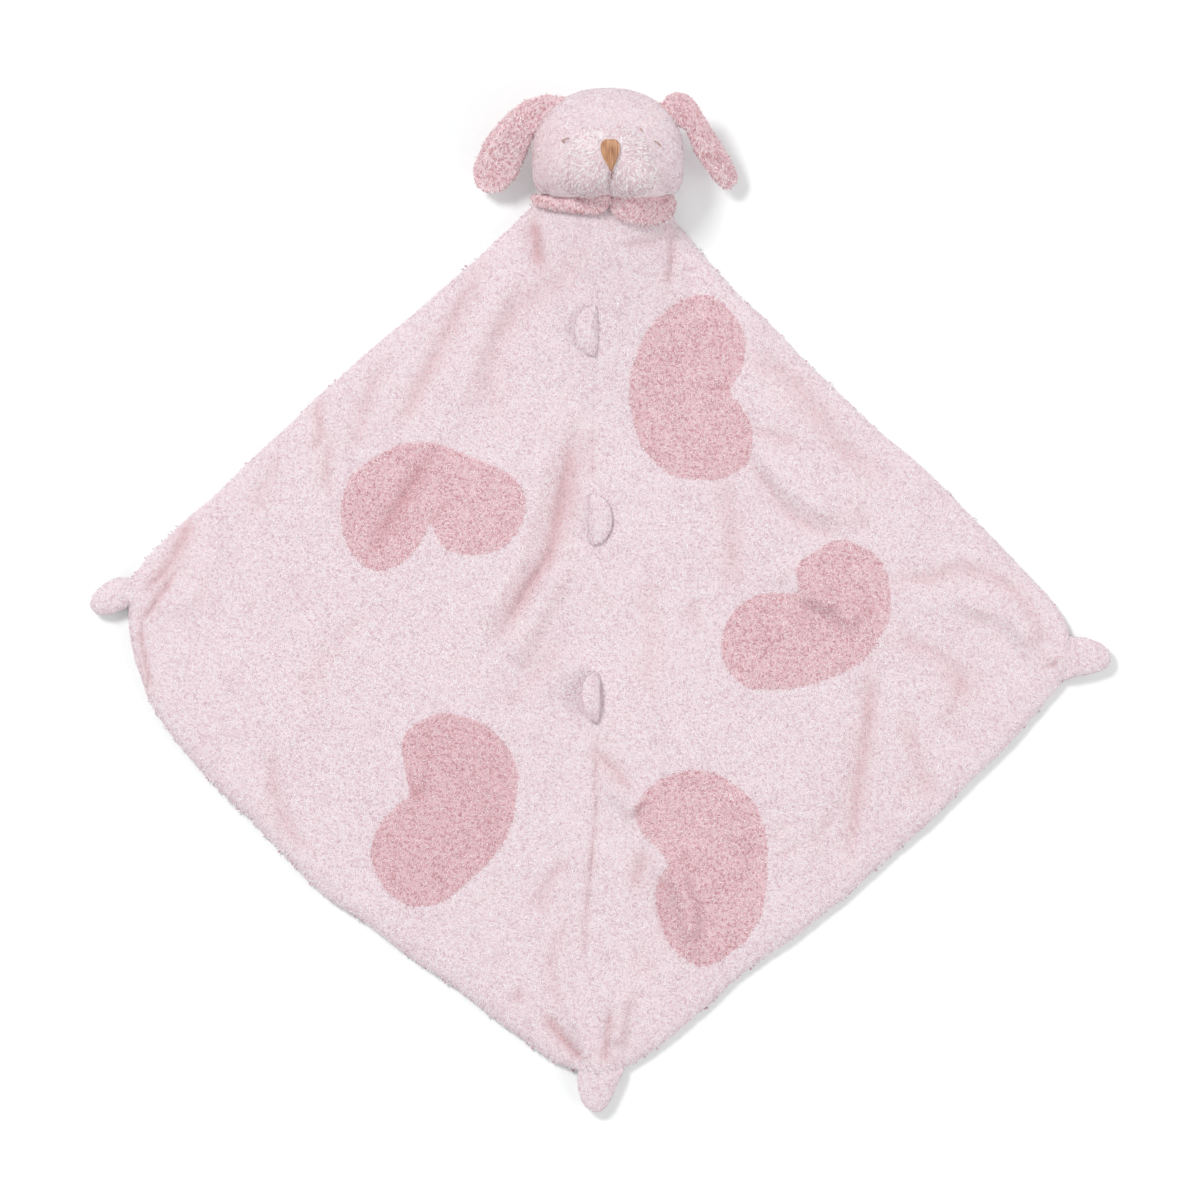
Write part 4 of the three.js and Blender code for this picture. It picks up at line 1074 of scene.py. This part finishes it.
# Mouth and closed eyes: stitches as pixels of the photograph, their rise and radius in millimetres
stitches = {
    "mouth": {
        "lines": [[(611.5, 170.5), (612.6, 174), (611.2, 177), (611.6, 180.5)]], "rise": 1.9, "radius": 0.34,
    },
    "eyes": {
        "lines": [
            [(561.5, 142.5), (563.5, 141), (566, 140), (568.5, 139.5)], [(562.5, 144), (564.5, 142)],
            [(654.5, 142.5), (657, 143.5), (659, 145), (661, 148)], [(640.5, 129.5), (641.3, 132.5)],
        ],
        "rise": 1.8, "radius": 0.28,
    },
}


def makeStitches(name, own, material):
    lines = [smoothLine(fromPhoto(points), 4) for points in own["lines"]]
    raised = [[(x, y, float(faceTop(x, y)) + own["rise"]) for x, y in line] for line in lines]
    sewn(name, raised, own["radius"], material)


makeStitches("mouthStitch", stitches["mouth"], mouthThread)
makeStitches("eyeStitches", stitches["eyes"], eyeThread)


# Flat padded pieces inside an outline: rings shrink to the middle on both faces
def padOf(line, rings, face):
    middle, count = line.mean(0), len(line)
    shares = np.sin(np.linspace(0, 1, rings + 1)[1:] * math.pi / 2)
    plan = np.concatenate([[middle]] + [middle + (line - middle) * share for share in shares])
    share = np.concatenate([[0]] + [np.full(count, s) for s in shares])
    upper, lower = face(plan, share, 1), face(plan, share, -1)
    size = len(plan)
    faces = []
    for k in range(count):
        following = (k + 1) % count
        faces.append((0, 1 + k, 1 + following))
        for ring in range(1, rings):
            a, b = 1 + (ring - 1) * count, 1 + ring * count
            faces.append((a + k, b + k, b + following, a + following))
    under = [tuple(size + i for i in f[::-1]) for f in faces]
    edge = 1 + (rings - 1) * count
    outer = range(edge, edge + count)
    walls = [(a, size + a, size + b, b) for a, b in zip(outer, [*outer[1:], edge])]
    return np.concatenate([upper, lower]), faces, under, walls


def turned(line):
    x, y = line.T
    return line if (x * np.roll(y, -1) - np.roll(x, -1) * y).sum() > 0 else line[::-1]


# Ears: outlines, and the line between the deep front and the paler edge, as pixels of the photograph
ear = {
    "left": {
        "outline": [
            (570, 111), (556, 110.5), (549, 117), (538, 130), (533.5, 136.5), (529.5, 146), (525, 157),
            (520.5, 167), (516, 176.5), (504.5, 188.5), (496, 192), (487, 192.3), (480.5, 188.5),
            (475.5, 181.5), (474, 172.5), (476.5, 161), (486, 141), (493.5, 130), (509, 113.5), (518, 106.7),
            (527, 101.5), (544.5, 96), (554.5, 97), (570, 101),
        ],
        "front": [
            (580, 100), (546, 101), (527, 107), (510, 118), (495, 135), (485, 152), (480, 168), (481, 182),
            (500, 205), (580, 160),
        ],
        # The left ear wears the lighter copy as painted light against the head's shade
        "root": (562, 104), "tip": (486, 186), "tilt": 0.0, "fabric": "litDeepRosePlush",
    },
    "right": {
        "outline": [
            (655, 108), (663.5, 103), (667, 98), (671.5, 94.8), (677.5, 93), (684, 94.7), (690, 98),
            (695, 103.5), (704, 117.5), (713, 133), (724, 149.5), (733.3, 167), (736.6, 175), (736.5, 181),
            (733, 185.7), (727, 188.6), (721, 186.8), (709.5, 173.4), (697.2, 155.6), (688.4, 135.8),
            (684, 128.5), (678, 125), (670, 118), (655, 115),
        ],
        "front": [
            (650, 95), (671, 99), (679, 107), (694, 121), (703, 132), (712, 143), (722, 155), (730, 166),
            (734, 176), (732, 184), (720, 200), (650, 140),
        ],
        "root": (666, 106), "tip": (730, 184), "tilt": -0.12, "fabric": "deepRosePlush",
    },
    "comb": (17, 12), "half": 3.2, "rim": 0.9, "rootLevel": 34, "tipLevel": 12, "arch": 2.0,
    "groove": 0.7, "grooveWidth": 1.3, "grooveEnd": 0.97, "combAlong": 0.6, "pileFloor": 0.1,
    "rings": 14, "steps": 4, "fill": 0.4,
}


def makeEar(name):
    own, title, body = ear[name], "ear" + name.capitalize(), "ear_" + name
    line = turned(smoothLine(fromPhoto(own["outline"]), ear["steps"], True))
    front = smoothLine(fromPhoto(own["front"]), ear["steps"], True)
    root, tip = fromPhoto([own["root"], own["tip"]])
    length = np.linalg.norm(tip - root)
    axis = (tip - root) / length
    outward = np.array([-axis[1], axis[0]]) * (1 if name == "right" else -1)

    def face(plan, share, up):
        thick = ear["rim"] + (ear["half"] - ear["rim"]) * np.sqrt(1 - share**2)
        away = nearestOn(front, plan[:, 0], plan[:, 1], True, 8)[0]
        thick = thick - ear["groove"] * np.exp(-((away / ear["grooveWidth"]) ** 2)) * (share < ear["grooveEnd"])
        along = np.clip((plan - root) @ axis / length, 0, 1)
        level = ear["rootLevel"] + (ear["tipLevel"] - ear["rootLevel"]) * along
        level += ear["arch"] * np.sin(math.pi * along) + own["tilt"] * ((plan - root) @ outward)
        return np.column_stack([plan, level + up * thick])

    points, upper, under, walls = padOf(line, ear["rings"], face)
    nodes, allFaces = (f"ear_{name}_front", f"ear_{name}_back"), upper + under + walls
    stuffed(title, points, allFaces, own["fabric"], nodes, body, ear["fill"])
    comb = swirl(points, *ear["comb"]) + [*(axis * ear["combAlong"]), 0]
    shown = upper + walls
    onFront = inside(front, *np.array([points[list(f), :2].mean(0) for f in shown]).T)
    inner = [f for f, yes in zip(shown, onFront) if yes]
    outer = [f for f, yes in zip(shown, onFront) if not yes]
    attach(growPile(title + "PileFront", "ears", own["fabric"], points, inner, comb, 93), body)
    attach(growPile(title + "PileRim", "small", "rosePlush", points, outer, comb, 95), body)
    floor = ear["pileFloor"]
    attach(growPile(title + "PileBack", "ears", "rosePlush", points, under, comb, 94, floor=floor), body)


for name in ("left", "right"):
    makeEar(name)
print("ears made,", pileCount["tufts"], "tufts")

collars = {
    "left": [
        (538, 195.5), (536.5, 202), (541, 207.5), (556, 210), (583, 212), (600, 212), (607.5, 207), (608, 196),
        (575, 195.5),
    ],
    "right": [
        (612, 197), (609.5, 205), (613, 214), (625, 221.5), (641, 224.5), (656, 223.5), (667, 217), (670, 208),
        (668, 197), (640, 195),
    ],
    "comb": (19, 9), "thickness": 4.4, "lift": 1.6, "fromNeck": 0.8, "rings": 10, "steps": 8, "fill": 0.4,
}


def makeCollar(side):
    line = turned(smoothLine(fromPhoto(collars[side]), collars["steps"], True))
    limit = blanket["neck"] - collars["fromNeck"]

    def face(plan, share, up):
        x, y = plan[:, 0], np.minimum(plan[:, 1], limit)
        normal = np.stack([-sample("slopeX", x, y), -sample("slopeY", x, y), np.ones(len(x))], -1)
        normal /= np.linalg.norm(normal, axis=1)[:, None]
        base = np.stack([x, y, sample("top", x, y)], -1)
        puff = collars["thickness"] * (0.3 + 0.7 * np.sqrt(1 - share**2)) * (up > 0)
        return base + normal * (collars["lift"] + puff)[:, None]

    points, upper, under, walls = padOf(line, collars["rings"], face)
    points[:, 1] = np.minimum(points[:, 1], limit)
    title, allFaces = "collar" + side.capitalize(), upper + under + walls
    stuffed(title, points, allFaces, "litDeepRosePlush", ["collar_" + side], "blanket", collars["fill"])
    comb = swirl(points, *collars["comb"])
    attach(growPile(title + "Pile", "ears", "litDeepRosePlush", points, upper + walls, comb, 95), "blanket")


for side in ("left", "right"):
    makeCollar(side)

# Tabs in the seam: places along it as shares of the half diagonal, angles in degrees
tabs = {
    "upper": {"along": 0.597, "side": -1, "raised": 0, "droop": 1.3},
    "middle": {"along": 0.221, "side": 1, "raised": 0, "droop": 1.3},
    "lower": {"along": -0.134, "side": -1, "raised": 38, "droop": 2.4},
    "length": 28, "width": 13, "thickness": 4.2, "halfDiagonal": 277.5, "lift": 0.5, "tuck": 1.5, "foot": 3.9,
    "comb": (21, 9), "fullness": 0.7, "rimShare": 0.35, "tuckStart": 2, "tuckReach": 4,
    "rings": 8, "steps": 64, "fill": 0.3,
}


def tabPlace(own):
    # Where the tab's root lies on the cloth, and how steeply the cloth rises along it
    half, along = tabs["length"] / 2, own["along"] * tabs["halfDiagonal"]
    across = float(np.interp(along, seamLine[::-1, 1], seamLine[::-1, 0]))
    ends = [float(sample("top", across, along + side * half)) for side in (1, -1)]
    rise = (ends[0] - ends[1]) / tabs["length"]
    near = [
        float(sample("top", across + u * tabs["foot"], along + v * half)) - rise * v * half
        for u in (-1, 0, 1) for v in (-1, -0.5, 0, 0.5, 1)
    ]
    level = max(near) + (tabs["lift"] + tabs["thickness"] / 2) * math.hypot(1, rise)
    swing = math.radians(-own["raised"] if own["side"] > 0 else own["raised"] - 180)
    turns = Matrix.Rotation(math.atan(rise), 4, "X") @ Matrix.Rotation(swing, 4, "Y")
    return np.array(Matrix.Translation((across, along, level)) @ turns)


def makeTab(name):
    own, half = tabs[name], tabs["thickness"] / 2
    angles = np.linspace(0, 2 * math.pi, tabs["steps"], endpoint=False)
    reach = np.where(np.cos(angles) > 0, tabs["width"] - half, half)
    line = np.stack([reach * np.cos(angles), tabs["length"] / 2 * np.sin(angles)], -1)

    def face(plan, share, up):
        rounding = tabs["rimShare"] + (1 - tabs["rimShare"]) * np.sqrt(1 - share**2)
        thick = half * tabs["fullness"] * rounding
        tucked = np.clip((tabs["tuckStart"] - plan[:, 0]) / tabs["tuckReach"], 0, 1)
        drop = own["droop"] * share**2 + tabs["tuck"] * tucked
        return np.column_stack([plan, up * thick - own["side"] * drop])

    points, upper, under, walls = padOf(line, tabs["rings"], face)
    place, allFaces = tabPlace(own), upper + under + walls
    points = points @ place[:3, :3].T + place[:3, 3]
    title, body = "tab" + name.capitalize(), "seam_tab_" + name
    stuffed(title, points, allFaces, "pinkPlush", [body], body, tabs["fill"])
    comb = swirl(points, *tabs["comb"])
    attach(growPile(title + "Pile", "small", "pinkPlush", points, allFaces, comb, 97), body)


for name in ("upper", "middle", "lower"):
    makeTab(name)

nubs = {
    "left": [
        (139, 579), (130, 578.5), (120, 578), (109.5, 581.5), (98, 590), (91.5, 600), (91.5, 607), (96, 612.5),
        (103, 614.5), (112, 613.5), (121, 610), (131, 605), (141, 604), (147, 596), (147, 586),
    ],
    "right": [
        (1062, 635), (1071, 637), (1084, 638), (1100, 643.5), (1108, 651), (1109.5, 660), (1104.5, 668),
        (1090, 673.5), (1074, 676.5), (1062, 679.5), (1052, 672), (1050, 658), (1053, 645),
    ],
    "bottom": [
        (576, 1062), (578.3, 1072), (578.5, 1086), (583, 1101.5), (590.3, 1110.3), (598, 1111.5), (606, 1106),
        (612.7, 1093), (618.3, 1080), (623, 1070), (622, 1060), (612, 1051), (598, 1048), (584, 1051),
    ],
    "comb": (23, 9), "half": 5.0, "rim": 0.9, "level": 6.4, "floor": 0.7, "outside": 5, "overlap": 8.0,
    "dive": {"start": 1.5, "reach": 4, "depth": 1.5}, "above": 0.3, "below": 1.8, "pileFloor": 0.1,
    "rings": 10, "steps": 6, "fill": 0.7,
}


def nubFace(plan, share, up):
    # Outside the blanket a round pad; over its edge the pad takes the cloth's height, then dives under it
    x, y = plan.T
    thick = nubs["rim"] + (nubs["half"] - nubs["rim"]) * np.sqrt(1 - share**2)
    away, nearX, nearY = nearestOn(outline, x, y, True, 30)
    isIn = inside(outline, x, y)
    within = np.where(isIn, 1, -1) * away
    cloth = sample("top", np.where(isIn, x, nearX), np.where(isIn, y, nearY))
    root = eased(np.clip((within + nubs["outside"]) / nubs["overlap"], 0, 1))
    dive = nubs["dive"]
    dived = dive["depth"] * np.clip((within - dive["start"]) / dive["reach"], 0, 1)
    cloth = cloth + (nubs["above"] - dived if up > 0 else -nubs["below"])
    z = (nubs["level"] + up * thick) * (1 - root) + cloth * root
    return np.column_stack([x, y, np.maximum(z, nubs["floor"])])


def makeNub(name):
    line = turned(smoothLine(fromPhoto(nubs[name]), nubs["steps"], True))
    points, upper, under, walls = padOf(line, nubs["rings"], nubFace)
    title, body, allFaces = "nub" + name.capitalize(), "corner_nub_" + name, upper + under + walls
    stuffed(title, points, allFaces, "pinkPlush", [body], body, nubs["fill"])
    comb, floor = swirl(points, *nubs["comb"]), nubs["pileFloor"]
    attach(growPile(title + "Pile", "small", "pinkPlush", points, allFaces, comb, 98, floor=floor), body)


for name in ("left", "right", "bottom"):
    makeNub(name)
print("collars, tabs and nubs made,", pileCount["tufts"], "tufts in all")

# Studio, in metres
studio = {
    "floor": 5.0, "sky": 0.53, "glow": 0.09, "cameraHeight": 20.0,
    "key": {"watts": 193.0, "size": 1.5, "place": (-2.7, 2.7, 4.77)},
    "fill": {"watts": 82.0, "size": 3.0, "place": (4.4, -1.6, 2.5)},
}


def backgroundRays(graph):
    rays = graph.add("ShaderNodeLightPath")
    return (rays.of("Is Camera Ray") + rays.of("Is Glossy Ray") + rays.of("Is Transmission Ray")).held()


def floorMaterial():
    material, graph = newMaterial("studioFloor")
    seen = backgroundRays(graph)
    matt = graph.add("ShaderNodeBsdfDiffuse", {}, {"Color": (0.94, 0.96, 0.96, 1)})
    sockets = {"Color": (1, 1, 1, 1), "Strength": seen * studio["glow"]}
    glow = graph.add("ShaderNodeEmission", {}, sockets)
    both = graph.add("ShaderNodeAddShader", {}, {0: matt, 1: glow})
    graph.add("ShaderNodeOutputMaterial", {}, {"Surface": both})
    return material


def makeFloor():
    mesh, reach = bpy.data.meshes.new("studioFloor"), studio["floor"] / 2
    corners = [(-reach, -reach, 0), (reach, -reach, 0), (reach, reach, 0), (-reach, reach, 0)]
    mesh.from_pydata(corners, [], [(0, 1, 2, 3)])
    mesh.materials.append(floorMaterial())
    link("studioFloor", mesh)


def makeWorld():
    world = bpy.data.worlds.new("studio")
    world.use_nodes = True
    graph = Graph(world.node_tree)
    strength = backgroundRays(graph) * (1 - studio["sky"]) + studio["sky"]
    sky = graph.add("ShaderNodeBackground", {}, {"Color": (1.0, 1.0, 1.0, 1), "Strength": strength})
    graph.add("ShaderNodeOutputWorld", {}, {"Surface": sky})
    bpy.context.scene.world = world


def makeLamp(name):
    own, lamp = studio[name], bpy.data.lights.new(name, "AREA")
    lamp.shape, lamp.size, lamp.energy = "SQUARE", own["size"], own["watts"]
    softbox = link(name, lamp)
    softbox.location = own["place"]
    softbox.rotation_euler = (-Vector(own["place"])).to_track_quat("-Z", "Y").to_euler()


def makeCamera():
    # Straight down on the photograph's frame, from so far that the view is almost parallel
    scale, camera = photo["millimetresPerPixel"] * 0.001, bpy.data.cameras.new("camera")
    camera.sensor_width = 36
    camera.lens = 36 * studio["cameraHeight"] / (photo["size"] * scale)
    camera.clip_end = 100
    view = link("camera", camera)
    view.location = (0, (photo["centre"][1] - photo["size"] / 2) * scale, studio["cameraHeight"])
    bpy.context.scene.camera = view


makeFloor()
makeWorld()
makeLamp("key")
makeLamp("fill")
makeCamera()
bpy.context.scene.view_settings.view_transform = "Standard"
print("studio made")
